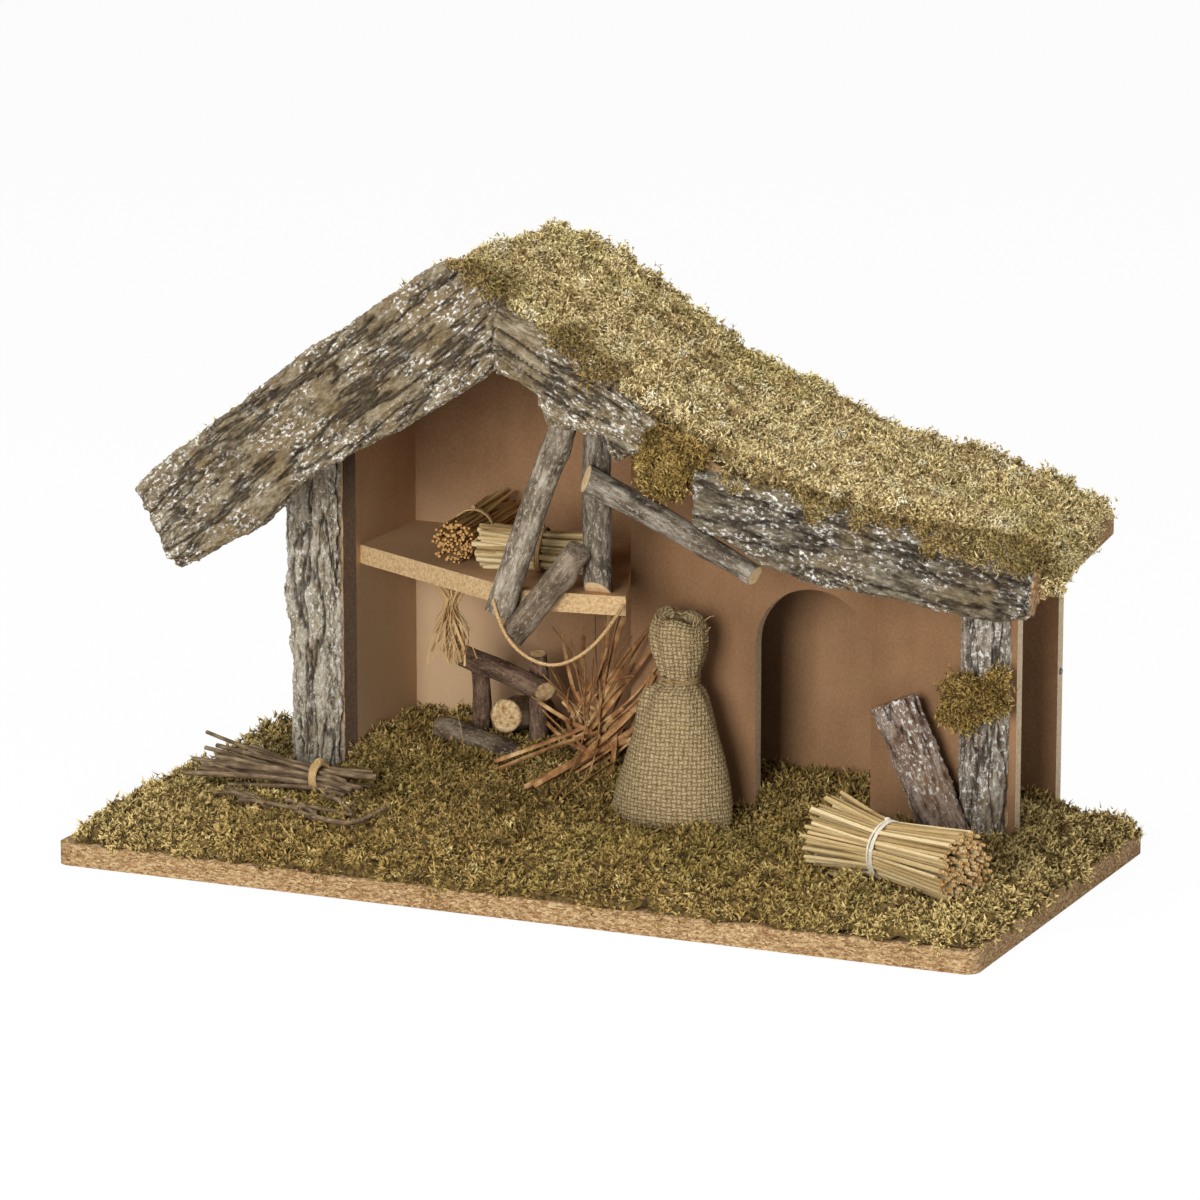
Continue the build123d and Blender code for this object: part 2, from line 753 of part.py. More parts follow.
for name, (place, way, waist, half, rings, width, ends) in bundles.items():
    seat = Plane(origin=place, z_dir=way)
    outer_ring = waist - width * strand_margin
    with BuildPart() as bundle:
        with BuildSketch(seat.offset(-half)):
            Circle(waist)
        extrude(amount=2 * half)
        strands = []
        for ring, count in enumerate(rings):
            ring_radius = outer_ring * ring / (len(rings) - 1)
            for i in range(count):
                angle = 2 * pi * (i + 0.5 * (ring % 2)) / count
                across = seat.x_dir * cos(angle) + seat.y_dir * sin(angle)
                root = seat.origin + across * ring_radius
                for side, spread, reach in ends:
                    shorter = uneven_ends * (1 + sin(2.4 * i + 5 * ring + side)) / 2
                    fan = ring_radius * ((spread - width / 2) / outer_ring - 1)
                    run = (seat.z_dir * side * reach + across * fan) * (1 - shorter)
                    strand_plane = Plane(origin=root, x_dir=across, z_dir=seat.z_dir)
                    with BuildSketch(strand_plane, mode=Mode.PRIVATE) as strand:
                        Rectangle(width, width)
                    strands.append(extrude(strand.sketch, amount=run.length, dir=run, mode=Mode.PRIVATE))
        add(strands)
    bundle.part.label = name
    export_step(bundle.part, f"parts/{name}.step")
    if len(ends) == 2:
        with BuildPart() as bundle_tie:
            with BuildSketch(Plane(origin=seat.origin, x_dir=seat.x_dir, z_dir=seat.y_dir)):
                with Locations((waist + tie_cord + tie_slack, 0)):
                    RegularPolygon(tie_cord, tie_sides)
            revolve(axis=Axis(seat.origin, seat.z_dir))
        bundle_tie.part.label = f"{name}_tie"
        export_step(bundle_tie.part, f"parts/{name}_tie.step")

# Burlap sack leaning on the front wall, drawn in at the neck with a frayed frill above
sack_half_depth = 15.5
sack_from_left = 33.0
sack_neck = 8.0
sack_neck_height = 59.0
neck_lean = -6.0
sack_x = front_wall_left_x + sack_from_left
sack_y = front_y - sack_half_depth - 3 * seat_gap
sack_neck_z = apron_top + sack_neck_height

# Height over the moss, half width, half depth and sideways lean, from the foot to the frill
sack_sections = (
    (seat_gap, 28.0, 14.5, 0),
    (9, 26.6, sack_half_depth, 0),
    (22, 23.6, 15.0, -0.5),
    (34, 19.4, 14.0, -1.5),
    (44, 16.0, 12.8, -2.8),
    (53, 12.0, 10.5, -4.6),
    (sack_neck_height, sack_neck, sack_neck, neck_lean),
    (66, 10.8, 9.2, neck_lean),
    (78, 12.6, 10.2, neck_lean),
    (87, 9.5, 8.0, neck_lean),
)
sack_sides = 24
sack_turns = [2 * pi * side / sack_sides for side in range(sack_sides)]
with BuildPart() as sack:
    for height, half_width, half_depth, lean in sack_sections:
        with BuildSketch(Plane(origin=(sack_x + lean, sack_y, apron_top + height))):
            Polygon(*((half_width * cos(turn), half_depth * sin(turn)) for turn in sack_turns))
    loft(ruled=True)
sack.part.label = "sack"
export_step(sack.part, "parts/sack.step")

neck_plane = Plane(origin=(sack_x + neck_lean, sack_y, sack_neck_z), x_dir=(1, 0, 0), z_dir=(0, -1, 0))
with BuildPart() as sack_tie:
    with BuildSketch(neck_plane):
        with Locations((sack_neck + tie_cord + seat_gap, 0)):
            RegularPolygon(tie_cord, tie_sides)
    revolve(axis=Axis(neck_plane.origin, (0, 0, 1)))
sack_tie.part.label = "sack_tie"
export_step(sack_tie.part, "parts/sack_tie.step")

# Twine slung from the long pole to the corner of the hayloft floor
twine_radius = 0.7
twine_sides = 6
twine_route = (
    (-38.0, -23.7, 110.0),
    (-34.5, -25.0, 98.5),
    (-24.0, -26.0, 88.0),
    (-10.0, -26.0, 84.5),
    (3.0, -25.0, 91.0),
    (11.0, -18.5, 101.0),
    (12.8, -8.0, 109.0),
)
arc_share = 0.45
twine_points = [Vector(point) for point in twine_route]
twine_runs = [after - before for before, after in zip(twine_points, twine_points[1:])]
twine_bends = [
    arc_share * min(before.length, after.length) / tan(radians(before.get_angle(after)) / 2)
    for before, after in zip(twine_runs, twine_runs[1:])
]
print("twine bend radii", [round(bend, 1) for bend in twine_bends])
with BuildPart() as twine:
    with BuildLine() as twine_path:
        FilletPolyline(*twine_points, radius=twine_bends)
    with BuildSketch(Plane(origin=twine_points[0], z_dir=twine_runs[0])):
        RegularPolygon(twine_radius, twine_sides)
    sweep(path=twine_path.line)
twine_length = sum(edge.length for edge in twine_path.edges())
section_area = twine_sides * twine_radius**2 * sin(2 * pi / twine_sides) / 2
plain_volume = section_area * twine_length
print("twine length", round(twine_length, 1))
print("twine volume over section times length", round(twine.part.volume / plain_volume, 4))
twine.part.label = "twine"
export_step(twine.part, "parts/twine.step")

# Nail head in the raw end of the back wall
nail_radius = 1.2
nail_head = 0.8
nail_height = 64.0
nail_place = (right_end_x, back_y - wall_board / 2, base_top + nail_height)
with BuildPart() as wall_nail:
    with BuildSketch(Plane(origin=nail_place, z_dir=(1, 0, 0))):
        Circle(nail_radius)
    extrude(amount=nail_head)
wall_nail.part.label = "wall_nail"
export_step(wall_nail.part, "parts/wall_nail.step")
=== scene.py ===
from math import atan2, cos, pi, radians, sin, sqrt
from random import Random

import bpy
from mathutils import Matrix, Vector


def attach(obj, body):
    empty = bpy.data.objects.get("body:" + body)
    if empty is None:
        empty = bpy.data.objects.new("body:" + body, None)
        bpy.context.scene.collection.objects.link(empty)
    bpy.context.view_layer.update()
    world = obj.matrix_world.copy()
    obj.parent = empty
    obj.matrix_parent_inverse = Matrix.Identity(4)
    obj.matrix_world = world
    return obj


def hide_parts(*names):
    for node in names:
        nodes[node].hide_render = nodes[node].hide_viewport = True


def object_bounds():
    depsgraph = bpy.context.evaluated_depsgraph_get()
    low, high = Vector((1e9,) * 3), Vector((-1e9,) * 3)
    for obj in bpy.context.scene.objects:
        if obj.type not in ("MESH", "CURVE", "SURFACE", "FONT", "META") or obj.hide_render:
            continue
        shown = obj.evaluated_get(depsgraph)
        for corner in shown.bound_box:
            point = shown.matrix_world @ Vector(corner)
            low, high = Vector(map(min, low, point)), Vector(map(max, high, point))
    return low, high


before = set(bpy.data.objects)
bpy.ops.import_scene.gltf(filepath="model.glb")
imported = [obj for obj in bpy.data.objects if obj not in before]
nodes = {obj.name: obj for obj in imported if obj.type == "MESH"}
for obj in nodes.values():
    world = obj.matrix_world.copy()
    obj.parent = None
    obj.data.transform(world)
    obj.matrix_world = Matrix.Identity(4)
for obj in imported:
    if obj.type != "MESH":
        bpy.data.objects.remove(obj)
cad_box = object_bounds()


# Base board and roof boards: plates of raw chipboard, sawn to size and glued together.
# Pale and ochre wood flakes lie flat in it, so they show as specks on the faces and as short dashes on the edges.
class Field:
    """A value in a node tree. Sums and products of fields add Math nodes."""

    def __init__(self, tree, socket):
        self.tree = tree
        self.socket = socket

    def node(self, kind, inputs, outlet=0, stops=(), **settings):
        made = self.tree.nodes.new(kind)
        for name, value in settings.items():
            setattr(made, name, value)
        if stops:
            elements = made.color_ramp.elements
            while len(elements) < len(stops):
                elements.new(0.5)
            for element, (place, colour) in zip(elements, stops):
                element.position = place
                element.color = (*colour, 1)
        for name, value in inputs.items():
            for each in value if isinstance(value, list) else [value]:
                if isinstance(each, Field):
                    self.tree.links.new(each.socket, made.inputs[name])
                else:
                    made.inputs[name].default_value = each
        return Field(self.tree, made.outputs[outlet])

    def other(self, outlet):
        return Field(self.tree, self.socket.node.outputs[outlet])

    def math(self, operation, first, second=0.0):
        return self.node("ShaderNodeMath", {0: first, 1: second}, operation=operation)

    def __add__(self, other):
        return self.math("ADD", self, other)

    def __sub__(self, other):
        return self.math("SUBTRACT", self, other)

    def __rsub__(self, other):
        return self.math("SUBTRACT", other, self)

    def __mul__(self, other):
        return self.math("MULTIPLY", self, other)

    def between(self, low, high):
        return self.node("ShaderNodeMapRange", {0: self, 1: low, 2: high}, interpolation_type="SMOOTHSTEP")

    def ramp(self, *stops):
        return self.node("ShaderNodeValToRGB", {0: self}, stops=stops)

    def blend(self, under, over):
        """The field under where this value is 0, and over, a field or a colour, where it is 1."""
        top = over if isinstance(over, Field) else (*over, 1)
        return self.node("ShaderNodeMix", {0: self, 6: under, 7: top}, outlet=2, data_type="RGBA")

    def vector(self, operation, other, outlet=0):
        return self.node("ShaderNodeVectorMath", {0: self, 1: other}, outlet=outlet, operation=operation)

    def scaled(self, factor):
        return self.node("ShaderNodeVectorMath", {0: self, "Scale": factor}, operation="SCALE")

    def drawn_out(self, share):
        """A place whose Z counts for just that share, so that a texture on it is drawn out along Z."""
        return self.vector("MULTIPLY", (1, 1, share))

    def astray(self, scale, reach):
        """A place moved about at random by some of the reach."""
        waves = self.node("ShaderNodeTexNoise", {"Vector": self, "Scale": scale}, outlet=1)
        return self.vector("ADD", waves.scaled(reach))

    def turn(self, axis, degrees):
        inputs = {"Vector": self, "Axis": axis, "Angle": radians(degrees)}
        return self.node("ShaderNodeVectorRotate", inputs, rotation_type="AXIS_ANGLE")

    def noise(self, scale, detail=3.0, roughness=0.6):
        inputs = {"Vector": self, "Scale": scale, "Detail": detail, "Roughness": roughness}
        return self.node("ShaderNodeTexNoise", inputs)

    def cells(self, scale):
        return self.node("ShaderNodeTexVoronoi", {"Vector": self, "Scale": scale}, outlet=1)

    def part(self, axis):
        return self.node("ShaderNodeSeparateXYZ", {0: self}, outlet="XYZ".index(axis))

    def attribute(self, name, outlet="Fac"):
        return self.node("ShaderNodeAttribute", {}, outlet=outlet, attribute_name=name)

    def normal(self):
        return self.node("ShaderNodeNewGeometry", {}, outlet="Normal")


def rgb(red, green, blue):
    """A colour as a screen shows it, 0 to 255, in the linear values that a shader takes."""
    shares = (red / 255, green / 255, blue / 255)
    return tuple(s / 12.92 if s <= 0.04045 else ((s + 0.055) / 1.055) ** 2.4 for s in shares)


def new_finish(name, coordinates="Object"):
    """The texture coordinates of a new material, and a function that wires up its surface and returns it."""
    material = bpy.data.materials.new(name)
    material.use_nodes = True
    tree = material.node_tree
    shader = tree.nodes["Principled BSDF"]
    shader.inputs["Specular IOR Level"].default_value = 0.25
    shader.inputs["Roughness"].default_value = 0.9
    place = Field(tree, tree.nodes.new("ShaderNodeTexCoord").outputs[coordinates])

    def surface(colour, height, depth):
        tree.links.new(colour.socket, shader.inputs["Base Color"])
        bump = place.node("ShaderNodeBump", {"Height": height, "Distance": depth})
        tree.links.new(bump.socket, shader.inputs["Normal"])
        return material

    return place, surface


def coat(piece, finish):
    piece.data.materials.clear()
    piece.data.materials.append(finish)


def chipboard_finish():
    place, surface = new_finish("raw_chipboard")
    wavy = place.drawn_out(2.4).astray(260, 0.0022)
    flake = wavy.cells(620).part("X")
    chip = wavy.cells(1500).part("Y")
    dust = place.noise(1500, 2)
    stain = place.noise(24, 3)
    tone = flake * 0.5 + chip * 0.35 + stain * 0.25
    colour = tone.ramp(
        (0.22, rgb(108, 76, 44)), (0.40, rgb(144, 110, 72)), (0.62, rgb(170, 138, 96)), (0.85, rgb(198, 171, 130)))
    # Small dark pits where the board dips: painted shade in the pits.
    dark_pits_and_painted_shade = dust.between(0.4, 0.3) * 0.55
    return surface(dark_pits_and_painted_shade.blend(colour, rgb(92, 62, 36)), flake * 0.5 + chip * 0.3 + dust * 0.5, 0.0006)


board_finish = chipboard_finish()
for board in ("base_board", "roof_board_left", "roof_board_upper", "roof_board_lower"):
    coat(nodes[board], board_finish)


# Walls and hayloft floor: thin pressed board, brushed with matt brown paint and glued together on the base.
# The sawn edges were left raw, so they show as pale strips, but the left wall's front edge is painted dark as painted
# shade in the gap behind the left post. The left wall and the loft floor take a paler copy of the paint as painted
# light, and low at the left, in the open room, the paint is paler again as painted light.
def painted_board_finish(name, flat_axis, paint_dark, paint_pale, edge_dark, edge_pale):
    place, surface = new_finish(name)
    cloud = place.noise(14, 4, 0.55)
    fibre = place.noise(800, 3, 0.7)
    strokes = place.drawn_out(0.14).noise(130, 3, 0.5)
    tone = cloud * 0.6 + strokes * 0.08 + fibre * 0.32
    # Painted light: the paint turns paler low down at the left, standing in for the light that reaches the open room.
    thin = place.part("X").between(-0.045, -0.12) * place.part("Z").between(0.15, 0.06) * 0.8
    paint = thin.blend(tone.ramp((0.36, paint_dark), (0.66, paint_pale)), rgb(196, 166, 130))
    # Edge colour: raw board, except on the left wall's front edge, which takes painted shade.
    raw_edge_and_painted_shade = fibre.ramp((0.3, edge_dark), (0.7, edge_pale))
    facing = place.normal().part(flat_axis)
    sawn = facing.math("ABSOLUTE", facing).between(0.9, 0.7)
    return surface(sawn.blend(paint, raw_edge_and_painted_shade), fibre * 0.6 + strokes * 0.4, 0.0003)


brown_paint = (rgb(118, 86, 58), rgb(156, 119, 85))
# Painted light: a paler copy of the brown paint for the left wall and the loft floor, for the light they catch.
painted_light_paint = (rgb(168, 130, 92), rgb(208, 168, 126))
raw_edge = (rgb(178, 152, 118), rgb(218, 200, 172))
# Painted shade: the left wall's front edge is dark, standing in for the shade in the gap behind the left post.
painted_gap_shade = (rgb(56, 42, 30), rgb(80, 61, 44))
flaky_edge = (rgb(156, 120, 78), rgb(206, 178, 134))
for wall, flat_axis, paint, edge in (
    ("back_wall", "Y", brown_paint, raw_edge), ("front_wall", "Y", brown_paint, raw_edge),
    ("left_side_wall", "X", painted_light_paint, painted_gap_shade), ("partition_wall", "X", brown_paint, raw_edge),
    ("loft_floor", "Z", painted_light_paint, flaky_edge),
):
    coat(nodes[wall], painted_board_finish(wall + "_paint", flat_axis, *paint, *edge))


# Ground moss: dried moss glued over the base in front of and inside the stable, banked up in the open room.
# It is a springy mat of small curled leaves, straw coloured at the tips; the leaves darken towards their roots and the
# mat between the tufts is dark, as painted shade under the leaves.
# It is pressed down under the sack, and hangs a little over the base's front and right edges.
def pick(piece, *others):
    bpy.ops.object.select_all(action="DESELECT")
    for each in (piece, *others):
        each.select_set(True)
    bpy.context.view_layer.objects.active = piece


def choose(piece, parts, test):
    """Enters edit mode with just those vertices, edges or polygons selected that pass the test."""
    pick(piece)
    bpy.ops.object.mode_set(mode="EDIT")
    bpy.ops.mesh.select_mode(type={"vertices": "VERT", "edges": "EDGE", "polygons": "FACE"}[parts])
    bpy.ops.mesh.select_all(action="DESELECT")
    bpy.ops.object.mode_set(mode="OBJECT")
    for each in getattr(piece.data, parts):
        each.select = test(each)
    bpy.ops.object.mode_set(mode="EDIT")


def twin(piece):
    """A copy of a piece with a mesh of its own."""
    other = piece.copy()
    other.data = piece.data.copy()
    bpy.context.collection.objects.link(other)
    return other


def merge_into_one(name, pieces):
    pick(*pieces)
    bpy.ops.object.join()
    pieces[0].name = name
    return pieces[0]


def copy_of(node, name):
    piece = bpy.data.objects.new(name, nodes[node].data.copy())
    bpy.context.collection.objects.link(piece)
    choose(piece, "vertices", lambda vertex: True)
    bpy.ops.mesh.remove_doubles(threshold=0.00001)
    bpy.ops.object.mode_set(mode="OBJECT")
    return piece


def remesh(piece, voxel):
    shaper = piece.modifiers.new("remesh", "REMESH")
    shaper.mode = "VOXEL"
    shaper.voxel_size = voxel
    pick(piece)
    bpy.ops.object.modifier_apply(modifier=shaper.name)


def grow(piece, rule):
    """Runs a mesh through geometry nodes that rule adds, and applies the outcome."""
    tree = bpy.data.node_groups.new(piece.name + "_growth", "GeometryNodeTree")
    tree.interface.new_socket(name="Mesh", in_out="INPUT", socket_type="NodeSocketGeometry")
    tree.interface.new_socket(name="Mesh", in_out="OUTPUT", socket_type="NodeSocketGeometry")
    outcome = rule(Field(tree, tree.nodes.new("NodeGroupInput").outputs[0]))
    tree.links.new(outcome.socket, tree.nodes.new("NodeGroupOutput").inputs[0])
    shaper = piece.modifiers.new("growth", "NODES")
    shaper.node_group = tree
    pick(piece)
    bpy.ops.object.modifier_apply(modifier=shaper.name)
    bpy.data.node_groups.remove(tree)


def fit(piece, stands_for, finish):
    """Gives a finished piece its material and its place in the frame."""
    coat(piece, finish)
    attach(piece, "root")
    if stands_for:
        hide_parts(*stands_for)


def leaf_tuft(leaves, leaf_long, leaf_wide, spread, seed):
    chance = Random(seed)
    bpy.ops.mesh.primitive_grid_add(x_subdivisions=1, y_subdivisions=1, size=1)
    leaf = bpy.context.object
    choose(leaf, "vertices", lambda vertex: vertex.co.y > 0.4)
    bpy.ops.mesh.merge(type="CENTER")
    bpy.ops.object.mode_set(mode="OBJECT")
    tip = leaf.data.attributes.new("tip", "FLOAT", "POINT")
    for vertex in leaf.data.vertices:
        along = vertex.co.y + 0.5
        tip.data[vertex.index].value = along
        vertex.co = (vertex.co.x * leaf_wide, along * leaf_long, 0)
    copies = [leaf] + [twin(leaf) for _ in range(leaves - 1)]
    for number, each in enumerate(copies):
        around = Matrix.Rotation(2 * pi * number / leaves + chance.uniform(-0.5, 0.5), 4, "Z")
        lift = Matrix.Rotation(radians(chance.uniform(-25, 60)), 4, "X")
        steps = (chance.gauss(0, spread), chance.gauss(0, spread), chance.uniform(0, 0.35))
        aside = Matrix.Translation([step * leaf_long for step in steps])
        each.data.transform(aside @ around @ lift @ Matrix.Scale(chance.uniform(0.6, 1.25), 4))
    return merge_into_one("tuft", copies)


def moss_over(piece, tufts, per_square_metre, facing, lump, seed, hanging=None):
    """Plants tufts on a mat, or with hanging on just that part of a slab that lies over a ragged sloping line."""
    def rule(mesh):
        def random(kind, socket, low, high, draw):
            inputs = {socket: low, socket + 1: high, 8: seed + draw}
            return mesh.node("FunctionNodeRandomValue", inputs, outlet=socket // 2, data_type=kind)

        place = mesh.node("GeometryNodeInputPosition", {})
        normal = mesh.node("GeometryNodeInputNormal", {})
        lumps = (place.noise(48, 2) - 0.5) * (2.0 * lump) + (place.noise(110, 2) - 0.5) * (4.0 * lump)
        mat = mesh.node("GeometryNodeSetPosition", {"Geometry": mesh, "Offset": normal.scaled(lumps)})
        clumps = mesh.math("GREATER_THAN", place.noise(150, 2), 0.38)
        chosen = mesh.math("GREATER_THAN", normal.part("Z"), facing) * clumps
        if hanging:
            line_x, line_z, slope, ragged = hanging
            over = place.part("Z") - line_z - (place.part("X") - line_x) * slope
            chosen = mesh.math("GREATER_THAN", over + (place.noise(70, 3, 0.7) - 0.5) * ragged, 0.0)
        inputs = {"Mesh": mat, "Selection": chosen, "Density": per_square_metre, "Seed": seed}
        roots = mesh.node("GeometryNodeDistributePointsOnFaces", inputs)
        tilt = random("FLOAT_VECTOR", 0, (-0.9, -0.9, -pi), (0.9, 0.9, pi), 0)
        turned = {"Rotation": roots.other(2), "Rotate By": mesh.node("FunctionNodeEulerToRotation", {0: tilt})}
        kinds = [mesh.node("GeometryNodeObjectInfo", {"Object": tuft}, outlet=4) for tuft in tufts]
        inputs = {
            "Points": roots, "Instance": mesh.node("GeometryNodeGeometryToInstance", {0: kinds}),
            "Pick Instance": True, "Instance Index": random("INT", 4, 0, len(tufts) - 1, 2),
            "Rotation": mesh.node("FunctionNodeRotateRotation", turned, rotation_space="LOCAL"),
            "Scale": random("FLOAT", 2, 0.6, 1.35, 1),
        }
        planted = mesh.node("GeometryNodeInstanceOnPoints", inputs)
        inputs = {"Geometry": planted, "Name": "tint", "Value": random("FLOAT", 2, 0.0, 1.0, 3)}
        planted = mesh.node("GeometryNodeStoreNamedAttribute", inputs, data_type="FLOAT", domain="INSTANCE")
        leaves = mesh.node("GeometryNodeRealizeInstances", {"Geometry": planted})
        return leaves if hanging else mesh.node("GeometryNodeJoinGeometry", {0: [mat, leaves]})

    grow(piece, rule)


def moss_finish(name, dark_and_painted_shade, leaf, pale, green):
    place, surface = new_finish(name)
    patch = place.noise(95, 3, 0.5)
    fine = place.noise(900, 2)
    tone = place.attribute("tint") * 0.30 + patch * 1.50 + fine * 0.2 - 0.43
    leafy = tone.ramp((0.25, dark_and_painted_shade), (0.5, leaf), (0.72, leaf), (0.95, pale))
    olive = place.noise(20, 3).between(0.5, 0.64) * 0.5
    leafy = olive.blend(leafy, green)
    # The moss is paler low down towards the far left and right, and in one round spot at the left.
    aside = place.part("X")
    low = place.part("Z").between(0.06, 0.04)
    outer = aside.math("ABSOLUTE", aside).between(0.10, 0.20) * low * 0.6
    pale_spot = place.vector("DISTANCE", (-0.165, 0.038, 0.018), outlet=1).between(0.026, 0.010) * 0.85
    paler_low_ends_and_spot = outer.math("MAXIMUM", outer, pale_spot)
    leafy = paler_low_ends_and_spot.blend(leafy, pale)
    # Painted shade: the bare mat and the leaves' roots are dark, dimmed further at random, where shade falls between
    # the tufts.
    root = place.noise(420, 3).ramp((0.38, tuple(0.25 * share for share in dark_and_painted_shade)), (0.62, dark_and_painted_shade))
    colour = place.attribute("tip").between(0.0, 0.6).blend(root, leafy)
    return surface(colour, fine, 0.0008)


ground_moss = moss_finish("ground_moss", rgb(114, 92, 48), rgb(180, 150, 86), rgb(238, 214, 146), rgb(160, 142, 72))
tufts = [
    leaf_tuft(20, 0.0022, 0.0013, 0.45, 1), leaf_tuft(18, 0.0028, 0.0010, 0.45, 2),
    leaf_tuft(20, 0.0018, 0.0014, 0.55, 3),
]
sack_print, print_radius, print_depth, mat_middle = Vector((0.026, 0.010)), 0.045, 0.003, 0.012
rim_start, rim_width, overhang, hang_down = 0.089, 0.008, 0.004, 0.0035
base_longer = 0.1
for node, voxel, per_square_metre, lump, seed in (
    ("moss_apron", 0.0028, 108000, 0.0050, 11),
    ("moss_heap", 0.0026, 220000, 0.0046, 21),
    ("moss_lean_to", 0.0026, 180000, 0.0030, 31),
):
    moss = copy_of(node, node + "_leaves")
    remesh(moss, voxel)
    for vertex in moss.data.vertices if node == "moss_apron" else ():
        x, y, z = vertex.co
        pressed = 1 - (vertex.co.xy - sack_print).length / print_radius
        if z > mat_middle:
            vertex.co.z -= max(0.0, min(print_depth, 2 * print_depth * pressed))
        front, side = (min(1.0, max(0.0, (far - rim_start) / rim_width)) for far in (-y, x - base_longer))
        ragged = 0.5 + 0.5 * sin(210 * (x + y)) * sin(83 * (x - y) + 1)
        vertex.co += Vector((overhang * side, -overhang * front, -hang_down * max(front, side))) * ragged
    moss_over(moss, tufts, per_square_metre, -0.3, lump, seed)
    fit(moss, [node], ground_moss)
for tuft in tufts:
    bpy.data.objects.remove(tuft)


# Bark posts, leaning log and roof edges: split slabs of rough bark, nailed flat against the boards behind them.
# The bark is grey brown and deeply fissured along its grain, with silvery lichen; the fissures and low crumbs are
# painted dark, partly the darker inner bark and partly painted shade in the cracks.
# The sawn ends and split sides are bare wood.
def fissures(grain):
    """Cracks that run along the grain: 1 in a crack and 0 on the ridges."""
    split = grain.drawn_out(0.16).noise(105, 3, 0.55) - 0.5
    return split.math("ABSOLUTE", split).between(0.035, 0.004)


def bark_over(piece, turn, deep, cut_way):
    remesh(piece, 0.0010)

    def rule(mesh):
        place = mesh.node("GeometryNodeInputPosition", {})
        normal = mesh.node("GeometryNodeInputNormal", {})
        grain = place.turn((0, 1, 0), turn)
        bare = normal.vector("DOT_PRODUCT", cut_way, outlet=1).between(0.75, 0.92)
        for name, kind, value in (("grain", "FLOAT_VECTOR", grain), ("bare", "FLOAT", bare)):
            inputs = {"Geometry": mesh, "Name": name, "Value": value}
            mesh = mesh.node("GeometryNodeStoreNamedAttribute", inputs, data_type=kind, domain="POINT")
        long = grain.drawn_out(0.3)
        swell = grain.noise(26, 2) - 0.5
        rib = long.noise(75, 3) - 0.5
        crumb = long.noise(240, 3, 0.65) - 0.5
        grit = grain.noise(620, 2) - 0.5
        relief = swell * (2.4 * deep) + rib * (2.4 * deep) + crumb * (2.6 * deep) + grit * (1.4 * deep)
        offset = normal.scaled((relief - fissures(grain) * deep) * (1 - bare * 0.75))
        return mesh.node("GeometryNodeSetPosition", {"Geometry": mesh, "Offset": offset})

    grow(piece, rule)


def bark_finish(name, dark, brown, grey, lichen):
    place, surface = new_finish(name)
    grain = place.attribute("grain", "Vector")
    long = grain.drawn_out(0.3)
    crumb = long.noise(240, 3, 0.65)
    fine = long.noise(800, 4, 0.7)
    crack = fissures(grain)
    tone = crumb * 0.45 + fine * 0.55
    colour = tone.ramp((0.36, dark), (0.46, brown), (0.56, grey), (0.70, rgb(172, 164, 146)))
    rust = grain.noise(40, 3).between(0.42, 0.70) * 0.45
    colour = rust.blend(colour, rgb(122, 98, 60))
    patch = grain.noise(46, 4, 0.65).between(0.66 - lichen, 0.52 - lichen)
    fleck = grain.drawn_out(0.6).noise(760, 4, 0.75).between(0.53, 0.61)
    colour = ((1 - patch) * fleck * 0.9).blend(colour, rgb(222, 220, 213))
    # Dark in the cracks and low crumbs: partly darker inner bark, partly painted shade.
    dark_pits_and_painted_shade = crack.math("MAXIMUM", crack * 0.8, crumb.between(0.42, 0.32) * 0.5)
    colour = dark_pits_and_painted_shade.blend(colour, rgb(48, 38, 28))
    streak = grain.drawn_out(0.06).noise(420, 3)
    wood = streak.ramp((0.35, rgb(112, 82, 54)), (0.5, rgb(158, 124, 86)), (0.68, rgb(196, 164, 122)))
    return surface(place.attribute("bare").blend(colour, wood), crumb * 0.5 + fine * 0.6, 0.0012)


slab_bark = bark_finish("slab_bark", rgb(54, 45, 33), rgb(98, 84, 62), rgb(134, 121, 97), 0.10)
low_bark = bark_finish("low_slab_bark", rgb(44, 38, 29), rgb(79, 70, 56), rgb(112, 103, 85), 0.11)
post_bark = bark_finish("post_bark", rgb(77, 68, 56), rgb(138, 126, 105), rgb(186, 177, 158), 0.18)
short_bark = bark_finish("short_post_bark", rgb(60, 52, 44), rgb(110, 98, 84), rgb(154, 145, 131), 0.17)
log_bark = bark_finish("log_bark", rgb(56, 42, 36), rgb(114, 88, 74), rgb(150, 132, 118), 0.14)
to_right, to_back, to_top = (1, 0, 0), (0, 1, 0), (-0.41, 0, 0.91)
post_middle, post_wider, head_wider, head_start, head_run = -0.148, 0.003, 0.006, 0.12, 0.05
for node, finish, turn, deep, cut_way in (
    ("bark_slab_left", slab_bark, -51.0, 0.0016, to_back),
    ("bark_slab_upper", slab_bark, -118.0, 0.0016, to_back),
    ("bark_slab_lower", low_bark, -103.0, 0.0016, to_right),
    ("left_bark_post", post_bark, 0.0, 0.0019, to_right),
    ("right_bark_post", short_bark, 0.0, 0.0011, to_back),
    ("leaning_log", log_bark, 24.0, 0.0011, to_top),
):
    slab = copy_of(node, node + "_bark")
    for vertex in slab.data.vertices if node == "left_bark_post" else ():
        if vertex.co.x < post_middle:
            vertex.co.x -= post_wider + head_wider * max(0.0, (vertex.co.z - head_start) / head_run)
    bark_over(slab, turn, deep, cut_way)
    fit(slab, [node], finish)


# Roof moss: the same dried moss in a thicker, paler mat, glued over the roof boards and down over the bark edges.
# A tuft hangs down between the two right-hand slabs, and a clump is glued on the right post.
clump_heart, clump_shift = Vector((0.153, 0.032, 0.073)), Vector((0.004, 0, 0))
drape_foot, drape_high, drape_middle = 0.156, 0.028, 0.041
droop_start, droop_run = 0.186, 0.012


def as_it_is(at):
    return at


